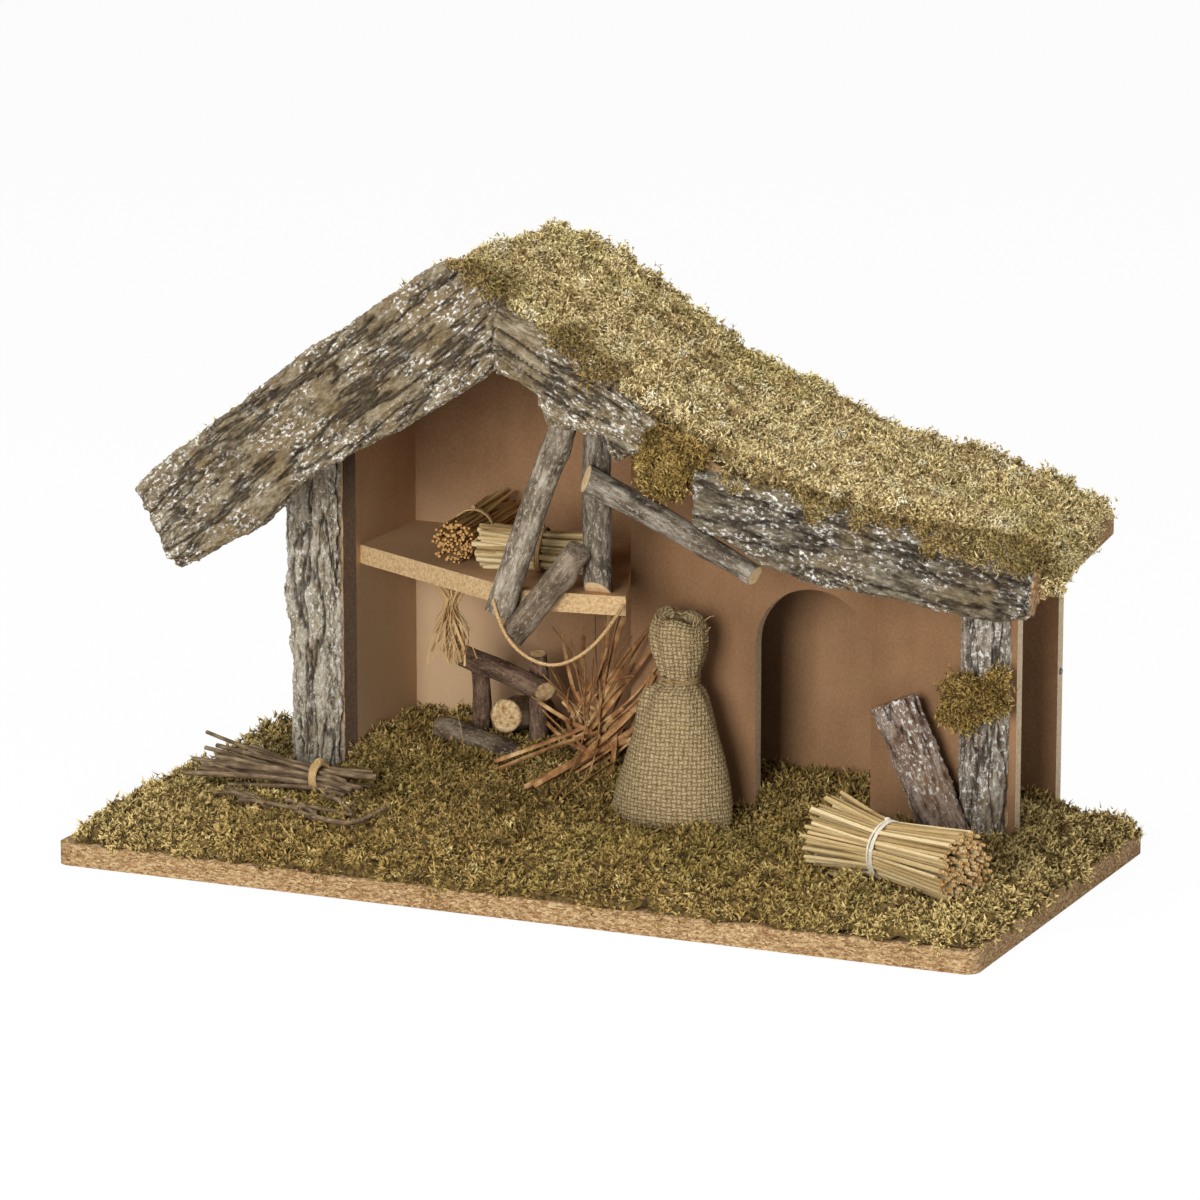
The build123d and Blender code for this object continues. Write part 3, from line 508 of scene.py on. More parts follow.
def drooping_end(at):
    droop = max(0.0, (at.x - droop_start) / droop_run)
    return at + Vector((0.0035 * droop, 0, -0.008 * droop))


def narrow_foot(at):
    high = (at.z - drape_foot) / drape_high
    centre = drape_middle + 0.004 * high
    x = centre + (at.x - drape_middle) * (0.5 + 2.3 * high) - 0.009 * (1 - high)
    return Vector((x, at.y - 0.0055 * high, at.z))


def ragged_clump(at):
    away = at - clump_heart
    angle = atan2(away.z, away.x)
    reach = 0.74 + 0.15 * sin(2 * angle + 0.6) + 0.13 * sin(3 * angle + 2.0)
    tail = max(0.0, 1 - abs(angle - 0.85) / 0.4)
    return clump_heart + away * (reach + 0.45 * tail) - clump_shift


tufts = [
    leaf_tuft(22, 0.0019, 0.0009, 0.6, 4), leaf_tuft(20, 0.0024, 0.0007, 0.6, 5),
    leaf_tuft(22, 0.0016, 0.0010, 0.6, 6),
]
roof_moss = moss_finish("roof_moss", rgb(156, 130, 82), rgb(250, 230, 172), rgb(255, 254, 228), rgb(226, 212, 138))
hung_moss = moss_finish("hung_moss", rgb(96, 78, 44), rgb(168, 142, 88), rgb(218, 197, 138), rgb(152, 135, 74))
golden_moss = moss_finish("golden_moss", rgb(104, 82, 42), rgb(184, 152, 84), rgb(232, 206, 136), rgb(164, 142, 70))
upper_side, every_side = -0.4, -2.0
for node, shape, voxel, per_square_metre, facing, lump, seed, finish in (
    ("roof_moss_left", as_it_is, 0.0026, 280000, upper_side, 0.0042, 41, roof_moss),
    ("roof_moss_right", drooping_end, 0.0026, 184000, upper_side, 0.0042, 51, roof_moss),
    ("moss_drape", narrow_foot, 0.0016, 420000, every_side, 0.0034, 61, golden_moss),
    ("moss_clump", ragged_clump, 0.0016, 420000, every_side, 0.0046, 71, golden_moss),
):
    moss = copy_of(node, node + "_leaves")
    for vertex in moss.data.vertices:
        vertex.co = shape(vertex.co)
    remesh(moss, voxel)
    moss_over(moss, tufts, per_square_metre, facing, lump, seed)
    fit(moss, [node], finish)
for slab, line_x, line_z, slope, ragged in (
    ("bark_slab_left", -0.044, 0.2385, -0.60, 0.018),
    ("bark_slab_upper", 0.012, 0.2050, -0.66, 0.030),
    ("bark_slab_lower", 0.050, 0.1745, -0.230, 0.042),
):
    fringe = twin(bpy.data.objects[slab + "_bark"])
    fringe.parent = None
    fringe.name = slab + "_fringe"
    moss_over(fringe, tufts, 420000, every_side, 0.0, 81, (line_x, line_z, slope, ragged))
    fit(fringe, [], hung_moss)
for tuft in tufts:
    bpy.data.objects.remove(tuft)


# Poles and rack: peeled-looking branch pieces with thin grey bark, sawn at both ends and glued in place.
# The long pole, strut, stand and brace frame the hayloft; the smaller sticks and the short log make the hay rack.
def upright_tube(sides, length):
    """A closed tube of radius 1 that stands on the origin."""
    bpy.ops.mesh.primitive_cylinder_add(vertices=sides, radius=1, depth=length, location=(0, 0, length / 2))
    bpy.ops.object.transform_apply(location=True, rotation=False, scale=False)
    return bpy.context.object


def choose_ends(tube):
    choose(tube, "polygons", lambda face: abs(face.normal.z) > 0.9)


def cut_into_rings(tube, length, cuts):
    def runs_along(edge):
        foot, head = (tube.data.vertices[index].co.z for index in edge.vertices)
        return abs(foot - head) > length / 2

    bpy.ops.object.mode_set(mode="OBJECT")
    choose(tube, "edges", runs_along)
    bpy.ops.mesh.subdivide(number_cuts=cuts)
    bpy.ops.object.mode_set(mode="OBJECT")


def branch(node, foot, head, foot_radius, head_radius, seed, finish, slant_foot, slant_head):
    chance = Random(seed)
    foot, head = Vector(foot), Vector(head)
    length = (head - foot).length
    ring_step, crook, saw_cut = 0.0016, 0.0010, 0.012
    piece = upright_tube(28, length)
    piece.name = node + "_branch"
    choose_ends(piece)
    bpy.ops.mesh.inset(thickness=0.14)
    bpy.ops.mesh.inset(thickness=0.3)
    bpy.ops.mesh.poke()
    cut_into_rings(piece, length, max(8, int(length / ring_step)))
    stance = (head - foot).to_track_quat("Z", "Y").to_matrix()
    front = stance.inverted() @ Vector((0, -1, 0))
    bow = chance.uniform(0, 2 * pi)
    knots = [
        (chance.uniform(0.15, 0.85), chance.uniform(0, 2 * pi), chance.uniform(0.0006, 0.0014)) for _ in range(3)]
    bare = piece.data.attributes.new("bare", "FLOAT", "POINT")
    grain = piece.data.attributes.new("grain", "FLOAT_VECTOR", "POINT")
    for vertex in piece.data.vertices:
        x, y, z = vertex.co
        share = z / length
        at_end = min(share, 1 - share) < 0.0001 and Vector((x, y, 0)).length < 0.93
        weathered = share > 0.5 and node == "loft_strut"
        bare.data[vertex.index].value = 1.0 if at_end and not weathered else 0.0
        radius = foot_radius + (head_radius - foot_radius) * share
        for height, way, size in knots:
            away = ((z - height * length) / 0.004) ** 2 + (2 - 2 * (x * cos(way) + y * sin(way))) * 8
            radius += size / (1 + away * away)
        slant = slant_foot * max(0, 1 - z / saw_cut) - slant_head * max(0, 1 - (length - z) / saw_cut)
        lean = slant * (x * front.x + y * front.y) * radius
        sway = crook * sin(pi * share)
        vertex.co = (x * radius + sway * cos(bow), y * radius + sway * sin(bow), z + lean)
        grain.data[vertex.index].vector = vertex.co + Vector((seed * 0.37, 0, 0))

    def rule(mesh):
        own = mesh.node("GeometryNodeInputNamedAttribute", {"Name": "grain"}, data_type="FLOAT_VECTOR")
        normal = mesh.node("GeometryNodeInputNormal", {})
        ripple = own.drawn_out(0.3).noise(260, 3) - 0.5
        lumps = own.noise(95, 2) - 0.5
        offset = normal.scaled(ripple * (0.16 * foot_radius) + lumps * (0.22 * foot_radius))
        return mesh.node("GeometryNodeSetPosition", {"Geometry": mesh, "Offset": offset})

    grow(piece, rule)
    piece.data.transform(Matrix.Translation(foot) @ stance.to_4x4())
    pick(piece)
    bpy.ops.object.shade_smooth_by_angle(angle=radians(50))
    fit(piece, [node], finish)


def stick_finish(name, dark, brown, pale, core):
    place, surface = new_finish(name)
    grain = place.attribute("grain", "Vector")
    long = grain.drawn_out(0.22)
    streak = long.noise(300, 4, 0.65)
    fine = long.noise(1100, 3, 0.7)
    blotch = grain.noise(70, 3)
    tone = streak * 0.5 + fine * 0.2 + blotch * 0.3
    bark = tone.ramp((0.40, dark), (0.5, brown), (0.61, pale))
    fleck = grain.drawn_out(0.5).noise(900, 3, 0.7).between(0.54, 0.63) * 0.55
    bark = fleck.blend(bark, tuple(min(1.0, 1.35 * share) for share in pale))
    ring = grain.drawn_out(0).noise(500, 2)
    wood = ring.ramp((0.3, core), (0.7, rgb(226, 200, 156)))
    return surface(place.attribute("bare").blend(bark, wood), streak * 0.6 + fine * 0.5, 0.0007)


silver_bark = stick_finish("silver_stick", rgb(68, 58, 46), rgb(112, 99, 82), rgb(168, 158, 141), rgb(196, 160, 112))
grey_bark = stick_finish("grey_stick", rgb(58, 47, 36), rgb(98, 83, 66), rgb(138, 124, 106), rgb(214, 178, 128))
brown_bark = stick_finish("brown_stick", rgb(54, 40, 30), rgb(92, 70, 54), rgb(128, 106, 86), rgb(190, 140, 80))
patchy_bark = stick_finish("patchy_stick", rgb(54, 47, 39), rgb(98, 87, 72), rgb(156, 147, 132), rgb(206, 172, 124))
yellow_log = stick_finish("yellow_log", rgb(62, 48, 36), rgb(104, 82, 60), rgb(140, 118, 92), rgb(150, 106, 52))
for node, foot, head, radii, seed, finish, slants in (
    ("long_pole", (-0.0385, -0.0173, 0.102), (-0.0068, -0.0102, 0.1959), (0.0060, 0.0055), 1, silver_bark, (0.2, 0.0)),
    ("loft_strut", (-0.0328, -0.0180, 0.0935), (-0.0045, -0.0140, 0.1310), (0.0055, 0.0053), 2, grey_bark, (0.3, 0.3)),
    ("loft_stand", (-0.001, -0.002, 0.112), (-0.001, -0.002, 0.1902), (0.0060, 0.0056), 3, patchy_bark, (0.9, 0.0)),
    ("roof_brace", (-0.0012, -0.0135, 0.1610), (0.0725, -0.0135, 0.1276), (0.0058, 0.0043), 4, patchy_bark, (0.6, 0.2)),
    ("rack_post_left", (-0.084, 0.062, 0.027), (-0.084, 0.062, 0.058), (0.0040, 0.0038), 5, brown_bark, (0.0, 0.2)),
    ("rack_post_right", (-0.057, 0.062, 0.027), (-0.057, 0.062, 0.067), (0.0040, 0.0038), 6, brown_bark, (0.0, 0.2)),
    ("rack_rail_top", (-0.088, 0.0535, 0.065), (-0.050, 0.0535, 0.053), (0.0047, 0.0045), 7, brown_bark, (0.1, 0.6)),
    ("rack_rail_bottom", (-0.100, 0.0537, 0.033), (-0.058, 0.0440, 0.027), (0.0042, 0.0040), 8, grey_bark, (0.2, 0.1)),
    ("rack_log", (-0.0705, 0.0585, 0.0395), (-0.0705, 0.0930, 0.0345), (0.0072, 0.0068), 9, yellow_log, (0.1, 0.0)),
):
    branch(node, foot, head, *radii, seed, finish, *slants)


# Straw bundles: cut straws gathered in a fistful and bound round the middle, two on the hayloft and one on the ground.
# The straws are pale yellow and hollow, and their sawn ends have turned orange brown.
def straight_stalk():
    stalk = upright_tube(7, 1)
    choose_ends(stalk)
    bpy.ops.mesh.inset(thickness=0.32)
    bpy.ops.transform.resize(value=(1, 1, 0.994), center_override=(0, 0, 0.5))
    cut_into_rings(stalk, 1, 6)
    return stalk


def sheaf(name, waist, way, back, fore, waist_radius, flare_back, flare_fore, count, stalk_radius, lowest):
    chance = Random(7)
    golden_angle, looseness = 2.39996, 0.0009
    waist, way = Vector(waist), Vector(way).normalized()
    side = way.cross(Vector((0, 0, 1))).normalized()
    up = side.cross(way)
    bend = back / (back + fore)
    stalk = straight_stalk()
    stalks = [stalk] + [twin(stalk) for _ in range(count - 1)]
    for number, each in enumerate(stalks):
        spread = waist_radius * sqrt((number + 0.5) / count)
        angle = number * golden_angle + chance.uniform(-0.3, 0.3)
        off = (side * cos(angle) + up * sin(angle)) * spread
        loose = Vector((chance.gauss(0, 1), chance.gauss(0, 1), chance.gauss(0, 1))) * looseness
        tail = waist - way * back * chance.uniform(0.88, 1.0) + off * flare_back * chance.uniform(0.85, 1.15) + loose
        front = waist + way * fore * chance.uniform(0.94, 1.0)
        front = front + off * flare_fore * chance.uniform(0.94, 1.06) - loose * 0.4
        thick = stalk_radius * chance.uniform(0.75, 1.2)
        tint = each.data.attributes.new("tint", "FLOAT", "POINT")
        cut = each.data.attributes.new("cut", "FLOAT", "POINT")
        colour = chance.random()
        for vertex in each.data.vertices:
            x, y, share = vertex.co
            if share < bend:
                centre = tail.lerp(waist + off, share / bend)
            else:
                centre = (waist + off).lerp(front, (share - bend) / (1 - bend))
            spot = centre + (side * x + up * y) * thick
            spot.z = max(spot.z, lowest + 0.2 * thick * (1 + y))
            tint.data[vertex.index].value = colour
            cut.data[vertex.index].value = 1.0 if share > 0.95 and x * x + y * y < 0.6 else 0.0
            vertex.co = spot
    return merge_into_one(name, stalks)


def straw_finish(name, dark, straw, pale, sawn):
    place, surface = new_finish(name)
    fine = place.noise(1400, 2)
    patch = place.noise(120, 2)
    tone = place.attribute("tint") * 0.65 + patch * 0.25 + fine * 0.2
    colour = tone.ramp((0.2, dark), (0.5, straw), (0.85, pale))
    ends = fine.ramp((0.3, rgb(150, 104, 58)), (0.6, sawn))
    return surface((place.attribute("cut") * 0.85).blend(colour, ends), fine, 0.0004)


def cord_finish(name, dark, pale):
    place, surface = new_finish(name)
    fibre = place.noise(1600, 3)
    return surface(fibre.ramp((0.3, dark), (0.7, pale)), fibre, 0.0004)


def ring_of_cord(radius, cord_radius, segments, sides):
    bpy.ops.mesh.primitive_torus_add(
        major_segments=segments, minor_segments=sides, major_radius=radius, minor_radius=cord_radius)
    return bpy.context.object


def binding(name, waist, way, across, high, cord_radius, seed):
    """Three turns of cord round a bundle with a small knot on top, of a half width and a half height."""
    chance = Random(seed)
    stance = Vector(way).normalized().to_track_quat("Z", "Y").to_matrix().to_4x4()
    loops = []
    for number in range(3):
        loop = ring_of_cord(across, cord_radius, 44, 7)
        leans = [Matrix.Rotation(radians(chance.uniform(-7, 7)), 4, axis) for axis in "XY"]
        step = Matrix.Translation((0, 0, (number - 1) * 1.7 * cord_radius))
        loop.data.transform(step @ (leans[0] @ leans[1]))
        loops.append(loop)
    for number in range(2):
        knot = ring_of_cord(1.5 * cord_radius, cord_radius, 16, 6)
        turned = Matrix.Rotation(radians(40 + 90 * number), 4, "Y")
        knot.data.transform(Matrix.Translation((0, across + cord_radius, 0)) @ turned)
        loops.append(knot)
    piece = merge_into_one(name, loops)
    squash = Matrix.Diagonal((1, high / across, 1, 1))
    piece.data.transform(Matrix.Translation(waist) @ stance @ squash)
    pick(piece)
    bpy.ops.object.shade_smooth()
    return piece


pale_straw = straw_finish("pale_straw", rgb(144, 116, 72), rgb(182, 156, 108), rgb(210, 190, 146), rgb(240, 182, 110))
dull_straw = straw_finish("dull_straw", rgb(150, 114, 66), rgb(192, 154, 96), rgb(218, 188, 130), rgb(196, 148, 90))
white_cord = cord_finish("white_cord", rgb(184, 174, 150), rgb(230, 223, 205))
raffia_cord = cord_finish("raffia_cord", rgb(150, 118, 74), rgb(206, 176, 124))
loft_top, moss_top = 0.1122, 0.0155
for node, waist, way, reaches, waist_radius, flares, count, stalk_radius, finish, tie_finish, lowest in (
    ("shelf_bundle_front", (-0.080, 0.048, 0.1213), (0.13, -1, 0), (0.042, 0.028), 0.0080, (1.1, 1.12),
     130, 0.00062, dull_straw, raffia_cord, loft_top),
    ("shelf_bundle_side", (-0.037, 0.023, 0.1213), (1, 0.02, 0), (0.028, 0.025), 0.0080, (1.12, 1.12),
     60, 0.00105, pale_straw, raffia_cord, loft_top),
    ("ground_bundle", (0.140, -0.039, 0.0283), (0.93, -0.37, 0), (0.032, 0.042), 0.0108, (1.45, 1.36),
     250, 0.00074, pale_straw, white_cord, moss_top),
):
    straws = sheaf(node + "_straws", waist, way, *reaches, waist_radius, *flares, count, stalk_radius, lowest)
    fit(straws, [node], finish)
    reach = waist_radius + stalk_radius
    tie = binding(node + "_cord", waist, way, reach, reach, 0.0005, 5)
    fit(tie, [node + "_tie"], tie_finish)


# Twig bundle: thin dry twigs gathered loosely on the moss at the left, forked and crooked, under one tie.
# The bark is grey brown and the snapped ends are pale.
def routed(name, routes, **settings):
    """A curve along each route, which is its points, its thickness at both ends and its roll."""
    curve = bpy.data.curves.new(name, "CURVE")
    curve.dimensions = "3D"
    for setting, value in settings.items():
        setattr(curve, setting, value)
    for points, thick, thin, roll in routes:
        line = curve.splines.new("NURBS")
        line.points.add(len(points) - 1)
        for number, (control, spot) in enumerate(zip(line.points, points)):
            control.co = (*spot, 1)
            control.radius = thick + (thin - thick) * number / (len(points) - 1)
            control.tilt = roll
        line.order_u = 3
        line.use_endpoint_u = True
    piece = bpy.data.objects.new(name, curve)
    bpy.context.collection.objects.link(piece)
    return piece


def stems(name, routes, radius, steps):
    """Thin crooked stems as tapering tubes, joined into one mesh."""
    routes = [(points, thick, thin, 0.0) for points, thick, thin in routes]
    pick(routed(name, routes, bevel_depth=radius, bevel_resolution=1, use_fill_caps=True, resolution_u=steps))
    bpy.ops.object.convert(target="MESH")
    bpy.ops.object.shade_smooth()
    return bpy.context.object


def twig_finish():
    place, surface = new_finish("twig_bark")
    along = place.vector("MULTIPLY", (0.2, 1, 1)).noise(700, 3)
    tone = along * 0.6 + place.noise(90, 2) * 0.4
    colour = tone.ramp((0.35, rgb(74, 58, 43)), (0.5, rgb(114, 94, 71)), (0.65, rgb(158, 136, 106)))
    return surface(colour, along, 0.0006)


chance = Random(17)
gauss, uniform = chance.gauss, chance.uniform
twig_waist = Vector((-0.126, -0.007, 0.0222))
lowest_tail, lowest_head, loose_height = 0.0188, 0.0180, 0.0205
crooked_twig = ((-0.115, -0.050, 0.019), (-0.094, -0.062, 0.020), (-0.081, -0.060, 0.020), (-0.083, -0.030, 0.020))
routes = [([Vector(spot) for spot in crooked_twig], 1.3, 0.9)]
for number in range(13):
    across, high = uniform(-0.006, 0.006), uniform(-0.003, 0.003)
    middle = twig_waist + Vector((uniform(-0.002, 0.002), across, high))
    tail = middle + Vector((
        -uniform(0.028, 0.060), 0.4 * across + gauss(-0.001, 0.006),
        0.8 * high + uniform(0, 0.006)))
    head = middle + Vector((
        uniform(0.012, 0.024), 0.4 * across + gauss(-0.001, 0.004), -uniform(0, 0.004)))
    tail.z, head.z = max(tail.z, lowest_tail), max(head.z, lowest_head)
    bent = tail.lerp(middle, 0.45) + Vector((0, gauss(0, 0.0014), gauss(0, 0.0009)))
    thick = uniform(0.9, 1.45)
    routes.append(([tail, bent, middle, head], thick * 0.8, thick))
    if number % 3 == 0:
        side = Vector((-0.013, uniform(-0.009, 0.007), uniform(0.002, 0.006)))
        routes.append(([bent, bent + 0.5 * side, bent + side], 0.6 * thick, 0.4 * thick))
for _ in range(8):
    start = Vector((uniform(-0.166, -0.106), uniform(-0.048, -0.022), loose_height))
    heading, run = radians(uniform(-48, 8)), uniform(0.022, 0.040)
    end = start + Vector((cos(heading), sin(heading), 0)) * run
    middle = start.lerp(end, 0.5) + Vector((0, gauss(0, 0.003), 0.0018))
    thick = uniform(0.7, 1.25)
    routes.append(([start, middle, end], thick, 0.7 * thick))
twigs = stems("twig_bundle_twigs", routes, 0.0010, 5)
fit(twigs, ["twig_bundle"], twig_finish())
twig_tie = binding("twig_bundle_cord", twig_waist, (1, 0, 0), 0.0068, 0.0058, 0.0009, 8)
fit(twig_tie, ["twig_bundle_tie"], raffia_cord)


# Hay in the rack and under the loft: flat strips of dried reed and raffia, pushed in loose and glued at the root.
# The rack's strips are reddish brown and fan out; the tuft under the loft is pale and hangs down in threads. Both are
# painted darker high up, as painted shadow under the hayloft.
def strips(name, routes, half_width):
    """Flat bent strips along the given routes, each turned about its own line."""
    routes = [(points, wide, wide, roll) for points, wide, roll in routes]
    pick(routed(name, routes, extrude=half_width, bevel_depth=0.00012, bevel_resolution=0, resolution_u=6))
    bpy.ops.object.convert(target="MESH")
    return bpy.context.object


def reed_finish(name, dark, reed, pale):
    place, surface = new_finish(name)
    streak = place.noise(110, 3)
    fine = place.noise(1300, 2)
    tone = streak * 0.85 + fine * 0.15
    # Painted shadow: the strips turn darker high up, where the hayloft shades them.
    painted_loft_shadow = place.part("Z").between(0.056, 0.082) * 0.5
    return surface(painted_loft_shadow.blend(tone.ramp((0.34, dark), (0.5, reed), (0.66, pale)), dark), fine, 0.0004)


red_reed = reed_finish("red_reed", rgb(104, 68, 40), rgb(162, 116, 72), rgb(212, 176, 124))
pale_raffia = reed_finish("pale_raffia", rgb(164, 126, 80), rgb(204, 170, 118), rgb(230, 206, 158))
chance = Random(29)
gauss, uniform = chance.gauss, chance.uniform
hay_knot = Vector((-0.021, 0.040, 0.039))
before_front_wall, before_log, partition = 0.0435, 0.052, -0.009
# Five fans of strips: thrown out in front, to the right, upright, across the rack and hung down.
routes = []
for count, foot, foot_step, tip, tip_step, bend, wide, wander in (
    (5, (-0.016, 0.040, 0.048), (0.004, -0.006, -0.016), (-0.061, 0.022, 0.028), (0.028, -0.006, -0.009),
     (0, -0.002, 0.001), 1.0, 0.0022),
    (15, (-0.030, 0.034, 0.024), (0.006, 0.006, 0.018), (-0.002, 0.042, 0.040), (0.006, 0.001, 0.048),
     (0.001, 0, -0.002), 0.75, 0.0026),
    (9, (-0.028, 0.048, 0.034), (0.006, -0.005, 0.002), (-0.043, 0.050, 0.078), (0.038, -0.008, 0.018),
     (-0.002, 0, 0.003), 0.75, 0.0030),
    (4, (-0.054, 0.050, 0.052), (0.008, -0.004, -0.010), (-0.020, 0.037, 0.040), (0.001, -0.001, -0.006),
     (0, -0.001, -0.001), 0.7, 0.0016),
    (3, (-0.022, 0.040, 0.070), (0.008, 0.001, -0.020), (-0.027, 0.020, 0.019), (0.010, 0.007, 0.003),
     (0.007, -0.003, -0.012), 1.25, 0.0014),
):
    for number in range(count):
        share = (number + uniform(-0.45, 0.45)) / (count - 1)
        stray = [Vector([gauss(0, wander) for _ in range(3)]) for _ in range(3)]
        start = Vector(foot) + share * Vector(foot_step) + 0.6 * stray[0]
        end = Vector(tip) + share * Vector(tip_step) + stray[1]
        middle = start.lerp(end, 0.5) + Vector(bend) + stray[2]
        for spot in (start, middle, end):
            spot.y = min(spot.y, before_front_wall if spot.x > partition else before_log)
        routes.append(([start, middle, end], wide * uniform(0.6, 1.3), uniform(-0.9, 0.9)))
for _ in range(46):
    foot = hay_knot + Vector((gauss(-0.003, 0.005), gauss(0.003, 0.003), uniform(-0.008, 0.022)))
    away = Vector((gauss(0.004, 0.012), gauss(-0.003, 0.003), uniform(0.004, 0.030)))
    middle = foot + 0.5 * away + Vector((gauss(0, 0.003), gauss(0, 0.001), gauss(0, 0.002)))
    tip = foot + away
    for spot in (foot, middle, tip):
        spot.y = min(spot.y, before_front_wall)
    routes.append(([foot, middle, tip], uniform(0.25, 0.7), uniform(0, pi)))
hay = strips("rack_hay_reeds", routes, 0.0011)
fit(hay, ["rack_hay"], red_reed)
root = Vector((-0.075, 0.015, 0.1030))
knot_below = 0.007
long_strand = (
    (0, 0, 0), (0.001, -0.001, -0.007), (-0.005, -0.003, -0.026), (-0.001, -0.003, -0.043),
    (0.005, -0.001, -0.056), (0.006, -0.001, -0.070))
routes = [([root + Vector(step) for step in long_strand], 0.5, 0.3)]
for _ in range(70):
    start = root + Vector((gauss(0, 0.0026), gauss(0, 0.0020), 0))
    knot = root + Vector((gauss(0, 0.0012), gauss(0, 0.0012), -knot_below))
    end = knot + Vector((gauss(0.001, 0.0045), gauss(-0.002, 0.003), -uniform(0.010, 0.026)))
    middle = knot.lerp(end, 0.5) + Vector((gauss(0, 0.0022), gauss(0, 0.0016), 0))
    routes.append(([start, knot, middle, end], uniform(0.3, 0.75), uniform(0, pi)))
tuft = strips("hay_tuft_raffia", routes, 0.0007)
fit(tuft, ["hay_tuft"], pale_raffia)


# Sack: a little stuffed bag of coarse burlap standing against the front wall, tied off below its rounded top.
# Its sides slope in to the neck, the cloth is gathered into folds there, and each thread of the weave shows.
def burlap_finish():
    place, surface = new_finish("burlap", "UV")
    pitch = 0.0018
    threads = place.astray(160.0, 0.0017).scaled(pi / pitch)
    warp = threads.math("SINE", threads.part("X"))
    weft = threads.math("SINE", threads.part("Y"))
    over = (warp * weft).between(-0.25, 0.25)
    height = over * warp.math("ABSOLUTE", warp) + (1 - over) * weft.math("ABSOLUTE", weft)
    slub = place.noise(420, 3)
    # Painted shade: the low places of the weave between the threads are darker; the slubs vary the threads' own colour.
    tone = height * 0.45 + slub * 0.75
    colour = tone.ramp(
        (0.34, rgb(106, 87, 57)), (0.58, rgb(146, 125, 89)), (0.82, rgb(174, 152, 112)), (1.0, rgb(202, 184, 146)))
    return surface(colour, height * 0.7 + slub * 0.5, 0.0008)


burlap = burlap_finish()
sack_rings = (
    (0.0, 0.0250, 0.0105, -0.0050), (0.0003, 0.0262, 0.0128, -0.0050), (0.004, 0.0267, 0.0148, -0.0050),
    (0.010, 0.0259, 0.0155, -0.0050), (0.0195, 0.0237, 0.0152, -0.0050), (0.029, 0.0211, 0.0145, -0.0049),
    (0.038, 0.0181, 0.0135, -0.0049), (0.047, 0.0157, 0.0124, -0.0052), (0.0535, 0.0135, 0.0112, -0.0054),
    (0.0567, 0.0113, 0.0100, -0.0050), (0.0588, 0.0078, 0.0078, -0.0040), (0.0605, 0.0072, 0.0074, -0.0036),
    (0.0625, 0.0077, 0.0077, -0.0036), (0.066, 0.0090, 0.0086, -0.0036), (0.072, 0.0112, 0.0098, -0.0038),
    (0.078, 0.0122, 0.0104, -0.0042), (0.0835, 0.0116, 0.0098, -0.0044), (0.0868, 0.0092, 0.0076, -0.0044),
    (0.0872, 0.0056, 0.0046, -0.0044), (0.0850, 0.0024, 0.0020, -0.0044),
)
sack_foot = Vector((0.0284, 0.0230, 0.0125))
neck_height, gathered, frill_start, frill_high, sack_height = 0.0605, 0.022, 0.064, 0.023, 0.0868
sack = upright_tube(72, 1)
cut_into_rings(sack, 1, 79)
chance = Random(3)
pleats = [(chance.uniform(0, 2 * pi), number + 5) for number in range(6)]
runs = [0.0]
for lower, upper in zip(sack_rings, sack_rings[1:]):
    runs.append(runs[-1] + sqrt((upper[0] - lower[0]) ** 2 + (upper[1] - lower[1]) ** 2))
cloth_at = {}
for vertex in sack.data.vertices:
    x, y, share = vertex.co
    run = share * runs[-1]
    step = max(number for number in range(len(runs) - 1) if runs[number] <= run + 0.000001)
    part = (run - runs[step]) / (runs[step + 1] - runs[step])
    height, wide, deep, lean = (low + (high - low) * part for low, high in zip(sack_rings[step], sack_rings[step + 1]))
    angle = atan2(x, -y)
    cloth_at[vertex.index] = (angle, (wide + deep) / 2, run)
    near_neck = max(0.0, 1 - abs(height - neck_height) / gathered)
    fold = sum(sin(number * angle + phase) for phase, number in pleats) / 6
    frill = max(0.0, height - frill_start) / frill_high
    bulge = 1 + (0.24 * near_neck + 0.12 * frill) * fold + 0.02 * sin(3 * angle + 90 * height) * (1 - near_neck)
    pinch = 1 - 0.55 * max(0.0, 1 - height / 0.012) * x**4
    near_top = max(0.0, height / sack_height - 0.85) / 0.15
    crown = (0.0018 * sin(angle + 4) + 0.0010 * sin(3 * angle + 1)) * near_top
    back = -0.005 * max(0.0, 1 - height / 0.06)
    vertex.co = sack_foot + Vector((x * wide * bulge + lean, y * deep * bulge * pinch + back, height + crown))
cloth_map = sack.data.uv_layers.active
for face in sack.data.polygons:
    behind = any(cloth_at[index][0] > 2 for index in face.vertices)
    for corner, index in zip(face.loop_indices, face.vertices):
        angle, radius, run = cloth_at[index]
        if behind and angle < -2:
            angle += 2 * pi
        cloth_map.data[corner].uv = (angle * radius, run)
sack.name = "sack_burlap"
pick(sack)
bpy.ops.object.shade_smooth()
fit(sack, ["sack"], burlap)
neck = sack_foot + Vector((-0.0036, 0, neck_height))
sack_cord = cord_finish("sack_cord", rgb(118, 94, 60), rgb(178, 152, 108))
sack_tie = binding("sack_cord", neck, (0, 0, 1), 0.0079, 0.0080, 0.0006, 12)
fit(sack_tie, ["sack_tie"], sack_cord)
routes = []
for _ in range(40):
    angle = chance.uniform(-2.4, 2.4)
    start = neck + Vector((sin(angle) * 0.0104, -cos(angle) * 0.0088, chance.uniform(0.012, 0.0250)))
    away = Vector((sin(angle), -cos(angle), chance.uniform(0.4, 2.2))).normalized() * chance.uniform(0.002, 0.005)
    routes.append(([start, start + 0.6 * away + Vector((0, 0, 0.001)), start + away], 1.0, 0.6))
frayed = stems("sack_threads", routes, 0.00025, 4)
fit(frayed, [], raffia_cord)


